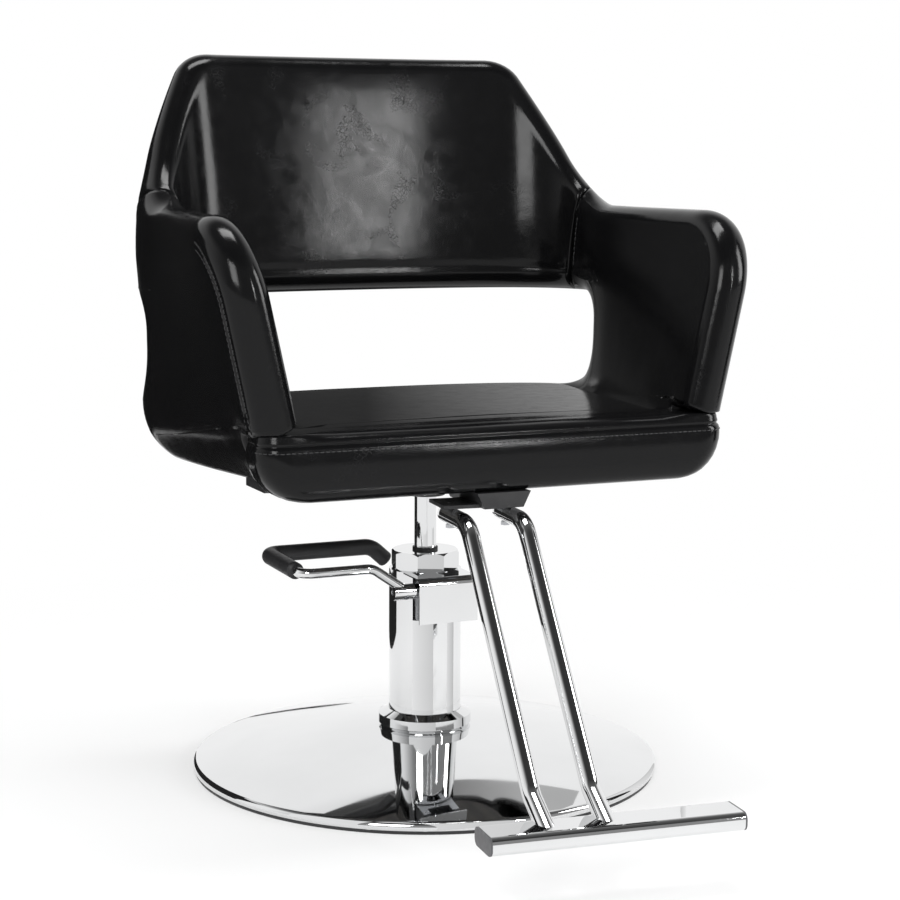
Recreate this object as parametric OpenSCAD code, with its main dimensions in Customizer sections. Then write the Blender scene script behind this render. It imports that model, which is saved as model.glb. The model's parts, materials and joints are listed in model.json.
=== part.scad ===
// Hydraulic styling chair: round domed base, foot pump, footrest bar and upholstered tub seat.
// Millimetres, +Z up, the chair faces -Y, the floor is Z = 0 and the pump axis is the Z axis.

/* [Base] */
// Diameter of the round base
base_d = 570; // [530:5:610]
// Height of the dome top under the trim ring
base_rise = 51; // [46:1:58]
// Thickness of the dome sheet
base_sheet = 3; // [2:0.5:3.5]
// Thickness of the steel weight inside the base
weight_t = 8; // [5:1:9]
// Height of the rubber ring the base stands on
floor_ring_h = 4; // [3:0.5:5]

/* [Pump] */
// Outer diameter of the pump sleeve
sleeve_d = 88; // [86:0.5:90]
// Height of the sleeve top above the floor
sleeve_top = 245; // [244:0.5:250]
// Diameter of the lift ram
ram_d = 27; // [24:1:30]
// Height of the gland nut
nut_h = 23; // [18:1:26]
// Travel of the lift
lift_travel = 130; // [100:5:135]

/* [Pedal] */
// Diameter of the pedal rod
rod_d = 12; // [10:0.5:13]
// Outer diameter of the rubber foot sleeve
foot_d = 20; // [17:0.5:22]
// Reach of the pedal sideways from the pump axis
pedal_reach = 181; // [172:1:192]
// Distance between the two legs of the pedal loop
loop_span = 125; // [120:1:132]

/* [Footrest] */
// Diameter of the two footrest tubes
tube_d = 20; // [18:0.5:22]
// Distance between the tube centre lines
tube_spread = 66; // [60:1:74]
// Length of the foot bar tube without its caps
bar_length = 276; // [240:2:320]
// Front to back size of the foot bar
bar_depth = 50; // [44:1:56]
// Height of the foot bar section
bar_height = 20; // [18:1:24]
// Sideways offset of the foot bar from the middle
bar_shift = 38; // [0:1:44]
// Forward distance of the foot bar from the pump axis
bar_reach = 508; // [490:2:520]
// Height of the foot bar centre above the floor
bar_z = 70; // [60:1:80]

/* [Seat] */
// Height of the seat top at its edge
seat_top = 450; // [444:1:458]
// Height of the underside of the seat
seat_bottom = 373; // [370:1:378]
// Forward distance of the seat front face
seat_front = 228; // [220:1:236]
// Thickness of the plywood seat board
board_t = 15; // [12:1:20]

/* [Shell] */
// Half width of the tub at the rear of the arms, at seat height
side_half = 290; // [282:1:296]
// Half width of the tub at the arm fronts, at seat height
front_half = 262; // [256:1:270]
// Forward distance of the arm fronts
arm_front = 222; // [212:1:230]
// Backward distance of the tub middle at seat height
tub_rear = 223; // [214:1:232]
// Height of the arm tops
arm_top = 682; // [660:2:700]
// Height of the back top
back_top = 868; // [840:2:890]
// Height of the lower edge of the backrest
back_bottom = 570; // [555:1:585]
// Thickness of the arm and back padding
pad_t = 52; // [46:1:56]

/* [Fits] */
// Radial gap of turning and sliding fits
slide_gap = 0.05; // [0.02:0.01:0.08]
// Gap between pieces that only pass each other
free_gap = 0.4; // [0.3:0.1:0.8]

/* [Hidden] */
$fn = 72;

// Base derived values
base_r = base_d / 2;
rim_r = 6;
rim_start = 77;
rim_end = -45;
rim_z = floor_ring_h - rim_r * sin(rim_end);
trim_r = 57;
dome_edge_r = base_r - rim_r + rim_r * cos(rim_start);
dome_edge_z = rim_z + rim_r * sin(rim_start);
dome_bow = 0.33;
dome_steps = 16;
weight_r = base_r - 23;
ring_lip_in = weight_r + free_gap;
ring_lip_out = base_r - 10;
ring_in = weight_r - 12;
weight_top = floor_ring_h + weight_t;
weight_bore = 30;
spigot_lift = 1;
pad_r = 27;

// Pump derived values
sleeve_r = sleeve_d / 2;
sleeve_wall = 2;
sleeve_in = sleeve_r - sleeve_wall;
cylinder_r = 34;
bore_r = 24.5;
dome_hole = cylinder_r + 2;
foot_r = 90;
foot_t = 10;
foot_top = weight_top + foot_t;
foot_bolt_r = 72;
foot_bolt_d = 10;
foot_head_d = 17;
foot_head_h = 6;
trim_z = base_rise;
trim_band = 11;
trim_bevel = 4;
trim_cone = 6;
cover_t = 1.5;
nut_z = sleeve_top + cover_t;
nut_top = nut_z + nut_h;
nut_r = 42;
nut_chamfer = 2.6;
nut_turn = 9.5;
ram_r = ram_d / 2;
wiper_r = ram_r + 2;
wiper_h = 3;
piston_h = 30;
seal_r = 1.6;
ram_low = nut_z - lift_travel - piston_h - 25;
hub_z = 337;
ram_top = seat_bottom - 12;
hub_r = 24;
hub_flange_r = 48;
hub_flange_t = 5;
plate_t = 4;
plate_z = seat_bottom - plate_t;
plate_half = 78;
plate_corner = 14;
plate_bolt = 58;

// Pump head and pedal derived values
shaft_y = -58;
shaft_z = 231;
shaft_r = 8;
stub_r = 9.5;
stub_in = 29;
stub_out = 67;
clamp_x = 51;
ear_in = 17;
ear_out = 28;
ear_r = 11.5;
plunger_y = -42;
plunger_r = 5;
nose_r = 5;
nose_w = 12;
plunger_top = shaft_z - nose_r - free_gap;
block_top = 212;
plunger_low = block_top - 8;
plunger_bore_low = 192;
block_low = 191;
block_half = 16;
block_front = -52;
slot_half = 30;
slot_low = 189;
cover_half = 38;
cover_face = -72;
cover_low = 192;
cover_bend = 9;
nut_seat = bore_r - slide_gap;
nut_neck = 14;
slope = 35;
bend_r = 24;
bend_x = -100;
near_z = 262;
corner_r = 16;
loop_tilt = 0.65;
slope_len = 45;
near_len = pedal_reach + bend_x - corner_r;
cross_len = loop_span - 2 * corner_r;
foot_start = 6;
far_len = pedal_reach - corner_r - 54;
drop_turn = 42;
drop_len = 16;
foot_cap = 3;

// Bent bar facets
bar_sides = 20;
bar_bend_step = 15;

// Footrest derived values
tube_r = tube_d / 2;
tube_wall = 1.5;
tube_x = tube_spread / 2;
tube_z = 345;
tube_rear = -178;
tube_bend_y = -238;
tube_bend_r = 42;
toe_turn = 22;
toe_r = 40;
bar_round = 8;
bar_wall = 1.5;
bar_gap = 0.05;
cap_t = 2;
cap_plug = 14;
toe_len = 30;
toe_sink = 20;
toe_aim_y = -bar_reach + bar_depth / 2 - 12;
toe_aim_z = bar_z + bar_height / 2;
function leg_rest(drop) =
    [tube_bend_y - toe_aim_y - tube_bend_r * sin(drop) - toe_r * (sin(drop) - sin(drop - toe_turn))
        - toe_len * cos(drop - toe_turn),
     tube_z - toe_aim_z - tube_bend_r * (1 - cos(drop)) - toe_r * (cos(drop - toe_turn) - cos(drop))
        - toe_len * sin(drop - toe_turn)];
function leg_drop(drop, turns) =
    turns == 0 ? drop : let (v = leg_rest(drop)) leg_drop(atan2(v[1], v[0]), turns - 1);
tube_drop = leg_drop(52, 12);
leg_len = norm(leg_rest(tube_drop));
bracket_front = seat_front - 4;
bracket_rear = 128;
bracket_low_half = 24;
bracket_top_half = 33;
clamp_half = 47;
clamp_t = 4;
clamp_z = tube_z + tube_r;
clamp_front = 214;
clamp_rear = 160;
tube_bolt_y = -195;
rest_turn = -5.5;

// Shell derived values
shell_power = 2.5;
corner_y = 110;
corner_steps = 40;
rear_flare = 7;
side_flare = 0.5;
front_flare = 12.5;
flare_hold = 190;
notch_shear = 24;
shear_reach = 90;
under_z = seat_bottom + 79;
under_r = 62;
under_turn = 71;
back_corner_s = 203;
back_corner_r = 35;
shoulder_turn = 60;
shoulder_r = 120;
arm_corner_r = 70;
window_s = 6;
window_low_r = 65;
window_high_r = 16;
tail_s = 230;
tail_low_r = 48;
tail_high_r = 27;
toe_corner_r = 26;
toe_step = 60;
toe_inner_r = 6;
toe_outer_r = 26;
toe_q = 1;
rim_w = 24;
rim_land = 1.5;
seam_depth = 7;
seam_width = 6;
seam_gap = 0.02;
pad_crown = 3;
crown_width = 70;
half_t = pad_t / 2;
cushion_gap = 1.5;
board_inset = 42;
board_wall = 12;
screw_d = 6;
screw_hole = 6.2;
screw_head = 11;
screw_head_h = 4;
screw_depth = 9;
plate_bolt_d = 8;
plate_bolt_hole = 8.2;
plate_bolt_head = 14;
plate_bolt_head_h = 5;
strap_in = 128;
strap_y = -75;
strap_half = 36;
strap_corner = 12;
strap_bolt_x = 150;
strap_bolt_y = [-95, -55];
tongue_half = 32;
tongue_inset = 31;
tongue_top = seat_bottom + 32;
tongue_gap = 0.1;
channel_bolt_y = [-180, -140];

function blend(a, b, t) = a + (b - a) * t;
function to_degrees(v) = v * 180 / PI;
function arc(cx, cy, r, from, to, steps) =
    [for (i = [0:steps]) let (a = blend(from, to, i / steps)) [cx + r * cos(a), cy + r * sin(a)]];
function lengths(points) =
    [for (i = 0, run = 0; i < len(points);
          run = run + (i + 1 < len(points) ? norm(points[i + 1] - points[i]) : 0), i = i + 1) run];
function resample(points, count) =
    let (run = lengths(points), last = len(points) - 1,
         xs = [for (i = [0:last]) [run[i], points[i][0]]],
         ys = [for (i = [0:last]) [run[i], points[i][1]]])
    [for (i = [0:count]) [lookup(run[last] * i / count, xs), lookup(run[last] * i / count, ys)]];
function back_to_front(points) = [for (i = [len(points) - 1:-1:0]) points[i]];
function join(first, second) = concat(first, [for (i = [1:len(second) - 1]) second[i]]);

// Plan line of the tub at seat height, from the middle of the back to the arm front
corner_depth = tub_rear - corner_y;
corner_points = [for (i = [0:corner_steps]) let (a = 90 * (1 - i / corner_steps))
    [side_half * pow(cos(a), 2 / shell_power), corner_y + corner_depth * pow(sin(a), 2 / shell_power)]];
corner_run = lengths(corner_points);
corner_len = corner_run[corner_steps];
corner_normals = [for (p = corner_points)
    let (v = [pow(p[0] / side_half, shell_power - 1) / side_half,
              pow((p[1] - corner_y) / corner_depth, shell_power - 1) / corner_depth]) v / norm(v)];
plan_x = [for (i = [0:corner_steps]) [corner_run[i], corner_points[i][0]]];
plan_y = [for (i = [0:corner_steps]) [corner_run[i], corner_points[i][1]]];
plan_nx = [for (i = [0:corner_steps]) [corner_run[i], corner_normals[i][0]]];
plan_ny = [for (i = [0:corner_steps]) [corner_run[i], corner_normals[i][1]]];
arm_vec = [front_half - side_half, -arm_front - corner_y];
arm_len = norm(arm_vec);
arm_dir = arm_vec / arm_len;
shell_len = corner_len + arm_len;
function plan_point(s) =
    s <= corner_len ? [lookup(s, plan_x), lookup(s, plan_y)]
                    : [side_half, corner_y] + arm_dir * (s - corner_len);
function plan_normal(s) =
    let (v = s <= corner_len ? [lookup(s, plan_nx), lookup(s, plan_ny)] : [-arm_dir[1], arm_dir[0]])
    v / norm(v);

function ease(t) = let (c = max(0, min(1, t))) c * c * (3 - 2 * c);
function flare_at(s) =
    s < corner_len ? blend(rear_flare, side_flare, ease((s - flare_hold) / (corner_len - flare_hold)))
                   : blend(side_flare, front_flare, ease((s - corner_len) / arm_len));

// Point of the shell: s along the plan line, q up the flared wall, n outwards from the mid surface
function shell_point(s, q, n) =
    let (side = s < 0 ? -1 : 1, run = abs(s),
         slid = max(0, run - notch_shear * n / half_t * (1 - ease(abs(run - window_end) / shear_reach))),
         p = plan_point(slid), v = plan_normal(slid), flare = flare_at(slid),
         turn = q >= 0 ? flare : flare + to_degrees(-q / under_r),
         out = q >= 0 ? q * tan(flare) : under_r * (cos(turn) - cos(flare)),
         z = q >= 0 ? under_z + q : under_z - under_r * (sin(turn) - sin(flare)),
         off = out + n * cos(turn))
    [side * (p[0] + v[0] * off), p[1] + v[1] * off, z - n * sin(turn)];
function wall_q(z) = z - under_z;

// Outline of the arms and back on the unrolled wall, as [s, q] points
low_q = -under_r * under_turn * PI / 180;
window_end = corner_len + window_s;
window_q = wall_q(back_bottom);
toe_s = shell_len - toe_step;
arm_q = wall_q(arm_top);
back_q = wall_q(back_top);
shoulder_tan = tan(shoulder_turn / 2);
shoulder_s = back_corner_s + (back_q - arm_q) / tan(shoulder_turn);
back_arc = arc(back_corner_s - back_corner_r * shoulder_tan, back_q - back_corner_r,
    back_corner_r, 90, 90 - shoulder_turn, 8);
shoulder_arc = arc(shoulder_s + shoulder_r * shoulder_tan, arm_q + shoulder_r,
    shoulder_r, 270 - shoulder_turn, 270, 10);
arm_arc_s = shell_len - arm_corner_r;
arm_arc_q = arm_q - arm_corner_r;
top_line = concat([[0, back_q]], back_arc, shoulder_arc, [[arm_arc_s, arm_q]]);
seam_top_s = shoulder_s + 2;
seam_s = corner_len - 46;
seam_line = [for (i = [0:12]) let (t = i / 12, q = blend(window_q, lookup(seam_top_s, top_line), t))
    [blend(seam_s, seam_top_s, pow(t, 2.6)), q]];

// Grid counts of the pads
seam_n = 7;
seam_low_end = 32;
seam_high_end = 50;
tail_n = 7;
notch_n = 7;
lintel_n = 3;
arm_u = 13;
arm_v = tail_n + notch_n + lintel_n + seam_n;
back_u = 28;
back_v = seam_n;
rings = 3;

// Arm outline sides, each listed bottom to top or rear to front
tail_line = concat(
    arc(tail_s + tail_low_r, low_q + tail_low_r, tail_low_r, 225, 180, 5),
    arc(tail_s + tail_high_r, -tail_high_r, tail_high_r, 180, 90, 6),
    [[window_end - window_low_r, 0]]);
notch_line = concat(
    arc(window_end - window_low_r, window_low_r, window_low_r, 270, 360, 8),
    arc(window_end - window_high_r, window_q - window_high_r, window_high_r, 0, 90, 6));
lintel_line = [[window_end - window_high_r, window_q], [seam_s, window_q]];
seam_all = resample(seam_line, 60);
seam_run = lengths(seam_all)[60];
seam_points = [for (i = [0:seam_n]) let (d = i == 0 ? 0 : i == seam_n ? seam_run
        : blend(seam_low_end, seam_run - seam_high_end, (i - 1) / (seam_n - 2)))
    [lookup(d / seam_run * 60, [for (k = [0:60]) [k, seam_all[k][0]]]),
     lookup(d / seam_run * 60, [for (k = [0:60]) [k, seam_all[k][1]]])]];
arm_rear = join(join(join(resample(tail_line, tail_n), resample(notch_line, notch_n)),
    resample(lintel_line, lintel_n)), seam_points);
arm_front_low = concat(
    arc(toe_s - toe_corner_r, low_q + toe_corner_r, toe_corner_r, 315, 360, 3),
    arc(toe_s + toe_inner_r, toe_q - toe_inner_r, toe_inner_r, 180, 90, 3));
toe_arc = arc(shell_len - toe_outer_r, toe_q + toe_outer_r, toe_outer_r, 270, 360, 3);
arm_front_mid = join(
    concat([arm_front_low[tail_n]], toe_arc),
    resample([toe_arc[3], [shell_len, window_q + 6]], 3));
arm_front_high = join([[shell_len, window_q + 6]], arc(arm_arc_s, arm_arc_q, arm_corner_r, 0, 45, 6));
arm_face = join(join(arm_front_low, arm_front_mid), resample(arm_front_high, lintel_n + seam_n));
arm_under = resample(concat(
    arc(tail_s + tail_low_r, low_q + tail_low_r, tail_low_r, 225, 270, 5),
    arc(toe_s - toe_corner_r, low_q + toe_corner_r, toe_corner_r, 270, 315, 4)), arm_u);
arm_over = resample(concat(
    [[seam_top_s, lookup(seam_top_s, top_line)]],
    [for (p = top_line) if (p[0] > seam_top_s) p],
    arc(arm_arc_s, arm_arc_q, arm_corner_r, 90, 45, 6)), arm_u);

// Backrest outline sides, left end to right end
back_half = concat([for (p = top_line) if (p[0] < seam_top_s) p],
    [[seam_top_s, lookup(seam_top_s, top_line)]]);
back_over = resample(concat([for (p = back_to_front(back_half)) [-p[0], p[1]]],
    [for (i = [1:len(back_half) - 1]) back_half[i]]), back_u);
back_under = resample([[-seam_s, window_q], [seam_s, window_q]], back_u);
back_right = seam_points;
back_left = [for (p = seam_points) [-p[0], p[1]]];

// Closed loop around four sides, counter-clockwise on the unrolled wall
function side_loop(low, right, high, left) =
    let (nu = len(low) - 1, nv = len(right) - 1)
    concat([for (i = [0:nu - 1]) low[i]], [for (j = [0:nv - 1]) right[j]],
           [for (i = [0:nu - 1]) high[nu - i]], [for (j = [0:nv - 1]) left[nv - j]]);
function loop_inward(loop) =
    let (m = len(loop))
    [for (i = [0:m - 1])
        let (a = loop[i] - loop[(i + m - 1) % m], b = loop[(i + 1) % m] - loop[i],
             t = a / norm(a) + b / norm(b)) [-t[1], t[0]] / norm(t)];
function grid_index(i, nu, nv) =
    i < nu ? [i, 0] : i < nu + nv ? [nu, i - nu] : i < 2 * nu + nv ? [2 * nu + nv - i, nv]
           : [0, 2 * (nu + nv) - i];
// Surface blended from the four sides of a loop
function patch(loop, nu, nv) =
    let (m = len(loop),
         low = [for (i = [0:nu]) loop[i]], right = [for (j = [0:nv]) loop[nu + j]],
         high = [for (i = [0:nu]) loop[2 * nu + nv - i]], left = [for (j = [0:nv]) loop[(m - j) % m]])
    [for (j = [0:nv]) [for (i = [0:nu])
        let (u = i / nu, v = j / nv)
        (1 - v) * low[i] + v * high[i] + (1 - u) * left[j] + u * right[j]
        - (1 - u) * (1 - v) * low[0] - u * (1 - v) * low[nu]
        - (1 - u) * v * high[0] - u * v * high[nu]]];
function quad(a, b, c, d, flip) = flip ? [[a, c, b], [a, d, c]] : [[a, b, c], [a, c, d]];
function flat_list(lists) = [for (l = lists) for (v = l) v];
function strip(first, second, m, flip) =
    flat_list([for (i = [0:m - 1]) let (k = (i + 1) % m)
        quad(first + i, first + k, second + k, second + i, flip)]);
function rim_strip(first, grid, nu, nv, flip) =
    let (m = 2 * (nu + nv))
    flat_list([for (i = [0:m - 1]) let (k = (i + 1) % m, p = grid_index(i, nu, nv), r = grid_index(k, nu, nv))
        quad(first + i, first + k, grid + r[1] * (nu + 1) + r[0], grid + p[1] * (nu + 1) + p[0], flip)]);
function grid_faces(grid, nu, nv, flip) =
    flat_list([for (j = [0:nv - 1]) for (i = [0:nu - 1]) let (a = grid + j * (nu + 1) + i)
        quad(a, a + 1, a + nu + 2, a + nu + 1, flip)]);

// Inward step of a seam corner: along the seam, as deep as the free edge beside it
function corner_step(loop, i, seam_side) =
    let (m = len(loop),
         seam = loop[(i + m + seam_side) % m] - loop[i],
         edge = loop[(i + m - seam_side) % m] - loop[i],
         along = seam / norm(seam), side = edge / norm(edge), inner = along - side * (along * side))
    along / (along * inner / norm(inner));
function nearest(p, loop) = min([for (r = loop) norm(p - r)]);

// Padded panel on the shell wall: rounded free edges, and sewn edges along the points listed in seams
module pad(loop, seams, nu, nv) {
    m = len(loop);
    inward = loop_inward(loop);
    sewn = [for (i = [0:m - 1]) len(search(i, seams)) > 0];
    corner = [for (i = [0:m - 1]) !sewn[i] ? 0 : !sewn[(i + 1) % m] ? -1 : !sewn[(i + m - 1) % m] ? 1 : 0];
    free_step = [for (i = [0:m - 1])
        !sewn[i] ? inward[i] : corner[i] != 0 ? corner_step(loop, i, corner[i]) : [0, 0]];
    seam_step = [for (i = [0:m - 1]) !sewn[i] ? [0, 0] : corner[i] == 0 ? inward[i]
        : let (v = loop[(i + m + corner[i]) % m] - loop[i]) corner[i] * [-v[1], v[0]] / norm(v)];
    ring_loops = [for (k = [0:rings]) [for (i = [0:m - 1])
        loop[i] + free_step[i] * rim_w * (1 - cos(90 * k / rings))
        + seam_step[i] * blend(seam_gap, seam_width, k / rings)]];
    ring_half = [for (k = [0:rings]) let (round = half_t * sin(90 * k / rings),
        groove = 1 - seam_depth / half_t * pow(1 - k / rings, 2)) [for (i = [0:m - 1])
        !sewn[i] ? max(rim_land, round) : corner[i] == 0 ? half_t * groove : max(rim_land, round * groove)]];
    grid = patch(ring_loops[rings], nu, nv);
    sheet = [for (sign = [1, -1]) concat(
        [for (k = [0:rings - 1]) for (i = [0:m - 1]) let (p = ring_loops[k][i])
            shell_point(p[0], p[1], sign * ring_half[k][i])],
        [for (j = [0:nv]) for (i = [0:nu])
            let (p = grid[j][i], deep = min(1, nearest(p, ring_loops[rings]) / crown_width))
            shell_point(p[0], p[1], sign * (half_t + pad_crown * deep * (2 - deep)))])];
    count = len(sheet[0]);
    sheet_faces = [for (side = [0, 1]) let (start = side * count, flip = side == 1) concat(
        flat_list([for (k = [0:rings - 2]) strip(start + k * m, start + (k + 1) * m, m, flip)]),
        rim_strip(start + (rings - 1) * m, start + rings * m, nu, nv, flip),
        grid_faces(start + rings * m, nu, nv, flip))];
    edge_faces = strip(0, count, m, true);
    polyhedron(points = concat(sheet[0], sheet[1]),
        faces = concat(sheet_faces[0], sheet_faces[1], edge_faces));
}

// Seat cushion: inset of the arm's inner face from the plan line, at height z beside run length s
cushion_off = half_t + cushion_gap;
pad_deep = half_t + pad_crown;
function arm_inset(z, s) =
    let (flare = flare_at(s), roll_z = under_z + under_r * sin(flare),
         last = sin(min(90, flare + under_turn)),
         turn = asin(min(last, max(sin(flare), (roll_z - z) / (under_r - pad_deep)))))
    under_r * cos(flare) - (under_r - pad_deep) * cos(turn);
function flank_s(y) = corner_len + (corner_y - y) * arm_len / (corner_y + arm_front);
function flank_point(s, inset, z) =
    let (share = ease((s - tail_s + tail_fade) / tail_fade), free = cushion_off + inset,
         off = blend(free, max(free, arm_inset(z, s) + cushion_gap), share))
    plan_point(s) - plan_normal(s) * off;
lobe_half = front_half + 16;
lobe_r = 52;
lobe_step = 8;
lobe_y = arm_front - toe_step + cushion_gap + 2 + lobe_step;
tail_fade = 40;
cushion_u = 16;
cushion_v = 14;
lobe_n = 3;
flank_n = cushion_v - lobe_n - 1;
function lobe_round(inset) = max(lobe_r - inset, 4);
function lobe_back(inset) = max(-lobe_y, -seat_front + inset + lobe_round(inset) + 2);
function lobe_arc(inset, from, to, steps) =
    let (r = lobe_round(inset)) arc(lobe_half - inset - r, -seat_front + inset + r, r, from, to, steps);
function cushion_front_half(inset) =
    resample(concat([[0, -seat_front + inset]], lobe_arc(inset, 270, 315, 3)), cushion_u / 2);
function cushion_flank(inset, z) =
    let (y = lobe_back(inset), s0 = flank_s(y + lobe_step))
    concat(lobe_arc(inset, 315, 360, lobe_n - 1), [[lobe_half - inset, y]],
        [for (i = [0:flank_n]) flank_point(blend(s0, flank_end, i / flank_n), inset, z)]);
function cushion_rear_half(inset, z) =
    [for (i = [0:cushion_u / 2]) flank_point(blend(0, flank_end, i / (cushion_u / 2)), inset, z)];
flank_end = tail_s - 30;
function mirrored(points) = [for (p = points) [-p[0], p[1]]];
function both_halves(half) = join(mirrored(back_to_front(half)), half);
function cushion_loop(inset, z) =
    let (flank = cushion_flank(inset, z))
    side_loop(both_halves(cushion_front_half(inset)), flank,
              both_halves(cushion_rear_half(inset, z)), mirrored(flank));
// Rows of the cushion wall: inset and height
cushion_rows = [
    [20, seat_bottom],
    [8, seat_bottom + 3],
    [1.5, seat_bottom + 11],
    [-2.5, seat_bottom + 34],
    [-1, seat_top - 23],
    [0.5, seat_top - 16],
    [3, seat_top - 13],
    [4, seat_top - 11],
    [14, seat_top - 3],
    [34, seat_top]];
cushion_crown = 4;

module cushion_body() {
    last = len(cushion_rows) - 1;
    row_loops = [for (row = cushion_rows) cushion_loop(row[0], row[1])];
    m = len(row_loops[0]);
    grid = patch(row_loops[last], cushion_u, cushion_v);
    points = concat(
        [for (k = [0:last - 1]) for (p = row_loops[k]) [p[0], p[1], cushion_rows[k][1]]],
        [for (j = [0:cushion_v]) for (i = [0:cushion_u]) let (p = grid[j][i])
            [p[0], p[1], seat_top + cushion_crown * sin(180 * i / cushion_u) * sin(180 * j / cushion_v)]]);
    faces = concat(
        flat_list([for (k = [0:last - 2]) strip(k * m, (k + 1) * m, m, true)]),
        rim_strip((last - 1) * m, last * m, cushion_u, cushion_v, true),
        grid_faces(last * m, cushion_u, cushion_v, true),
        [[for (i = [0:m - 1]) i]]);
    polyhedron(points = points, faces = faces);
}

// Small shared shapes
module tube_x_axis(x0, x1, y, z, r) {
    translate([x0, y, z]) rotate([0, 90, 0]) cylinder(h = x1 - x0, r = r);
}

module hex_head(d, h) {
    cylinder(h = h, d = d, $fn = 6);
}

function rounded_box(hx, hy, r) = concat(
    arc(hx - r, hy - r, r, 0, 90, 8), arc(r - hx, hy - r, r, 90, 180, 8),
    arc(r - hx, r - hy, r, 180, 270, 8), arc(hx - r, r - hy, r, 270, 360, 8));

module plate(hx, hy, r, h) {
    linear_extrude(height = h) polygon(rounded_box(hx, hy, r));
}

// Base group
function dome_z(r) =
    let (t = (r - trim_r) / (dome_edge_r - trim_r))
    base_rise - (base_rise - dome_edge_z) * ((1 - dome_bow) * t + dome_bow * t * t);
dome_line = [for (i = [0:dome_steps]) let (r = blend(dome_edge_r, trim_r, i / dome_steps)) [r, dome_z(r)]];

module base_plate() {
    outer = concat(arc(base_r - rim_r, rim_z, rim_r, rim_end, rim_start, 10),
        [for (i = [1:dome_steps]) dome_line[i]], [[dome_hole, base_rise]]);
    inner = concat([[dome_hole, base_rise - base_sheet]],
        [for (i = [dome_steps:-1:1]) dome_line[i] - [0, base_sheet]],
        arc(base_r - rim_r, rim_z, rim_r - base_sheet, rim_start, rim_end, 8));
    color("silver") rotate_extrude() polygon(concat(outer, inner));
}

module floor_ring() {
    color("black") rotate_extrude() polygon([
        [ring_in, 0], [base_r - 3, 0], [base_r - 2, floor_ring_h / 2], [base_r - 2, floor_ring_h],
        [ring_lip_out, floor_ring_h], [ring_lip_out, floor_ring_h + 3], [ring_lip_in, floor_ring_h + 3],
        [ring_lip_in, floor_ring_h], [ring_in, floor_ring_h]]);
}

module base_weight() {
    color("dimgray") difference() {
        translate([0, 0, floor_ring_h]) cylinder(h = weight_t, r = weight_r);
        translate([0, 0, floor_ring_h - 1]) cylinder(h = weight_t + 2, r = weight_bore);
        foot_bolt_places() translate([0, 0, floor_ring_h - 1]) cylinder(h = weight_t + 2, d = foot_bolt_d);
    }
}

module centre_pad() {
    color("black") cylinder(h = floor_ring_h + spigot_lift, r = pad_r);
}

module foot_bolt_places() {
    for (a = [45:90:315]) rotate([0, 0, a]) translate([foot_bolt_r, 0, 0]) children();
}

module pump_foot() {
    color("dimgray") difference() {
        union() {
            translate([0, 0, weight_top]) cylinder(h = foot_t, r = foot_r);
            translate([0, 0, floor_ring_h + spigot_lift]) cylinder(h = weight_t, r = weight_bore - free_gap);
        }
        foot_bolt_places() translate([0, 0, weight_top - 1]) cylinder(h = foot_t + 2, d = foot_bolt_d);
    }
}

module pump_bolts() {
    color("gray") foot_bolt_places() {
        translate([0, 0, foot_top]) hex_head(foot_head_d, foot_head_h);
        translate([0, 0, floor_ring_h + 0.5]) cylinder(h = foot_top - floor_ring_h, d = foot_bolt_d);
    }
}

module trim_ring() {
    band_low = trim_z + trim_bevel;
    band_high = band_low + trim_band;
    color("silver") rotate_extrude() polygon([
        [sleeve_r + 0.1, trim_z], [trim_r - 3, trim_z], [trim_r, band_low], [trim_r, band_high],
        [sleeve_r + 1, band_high + trim_cone], [sleeve_r + 0.1, band_high + trim_cone]]);
}

module pump_cylinder() {
    color("gray") difference() {
        translate([0, 0, foot_top]) cylinder(h = sleeve_top - foot_top, r = cylinder_r);
        translate([0, 0, foot_top + 6]) cylinder(h = nut_z, r = bore_r);
    }
}

module pump_sleeve() {
    color("silver") difference() {
        translate([0, 0, trim_z]) cylinder(h = sleeve_top - trim_z, r = sleeve_r);
        translate([0, 0, trim_z - 1]) cylinder(h = sleeve_top, r = sleeve_in);
        translate([-slot_half, -sleeve_r - 1, slot_low]) cube([2 * slot_half, sleeve_r, sleeve_top]);
    }
}

module gland_nut() {
    color("silver") difference() {
        union() {
            intersection() {
                translate([0, 0, nut_z]) rotate([0, 0, nut_turn]) cylinder(h = nut_h, r = nut_r, $fn = 8);
                rotate_extrude() polygon([
                    [0, nut_z], [nut_r - nut_chamfer, nut_z], [nut_r, nut_z + 3], [nut_r, nut_top - 3],
                    [nut_r - nut_chamfer, nut_top], [0, nut_top]]);
            }
            translate([0, 0, nut_z - nut_neck]) cylinder(h = nut_neck + 1, r = nut_seat);
        }
        translate([0, 0, nut_z - nut_neck - 1]) cylinder(h = nut_h + nut_neck + 2, r = ram_r + slide_gap);
    }
}

module wiper_seal() {
    color("black") difference() {
        translate([0, 0, nut_top]) cylinder(h = wiper_h, r = wiper_r);
        translate([0, 0, nut_top - 1]) cylinder(h = wiper_h + 2, r = ram_r + slide_gap);
    }
}

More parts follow.
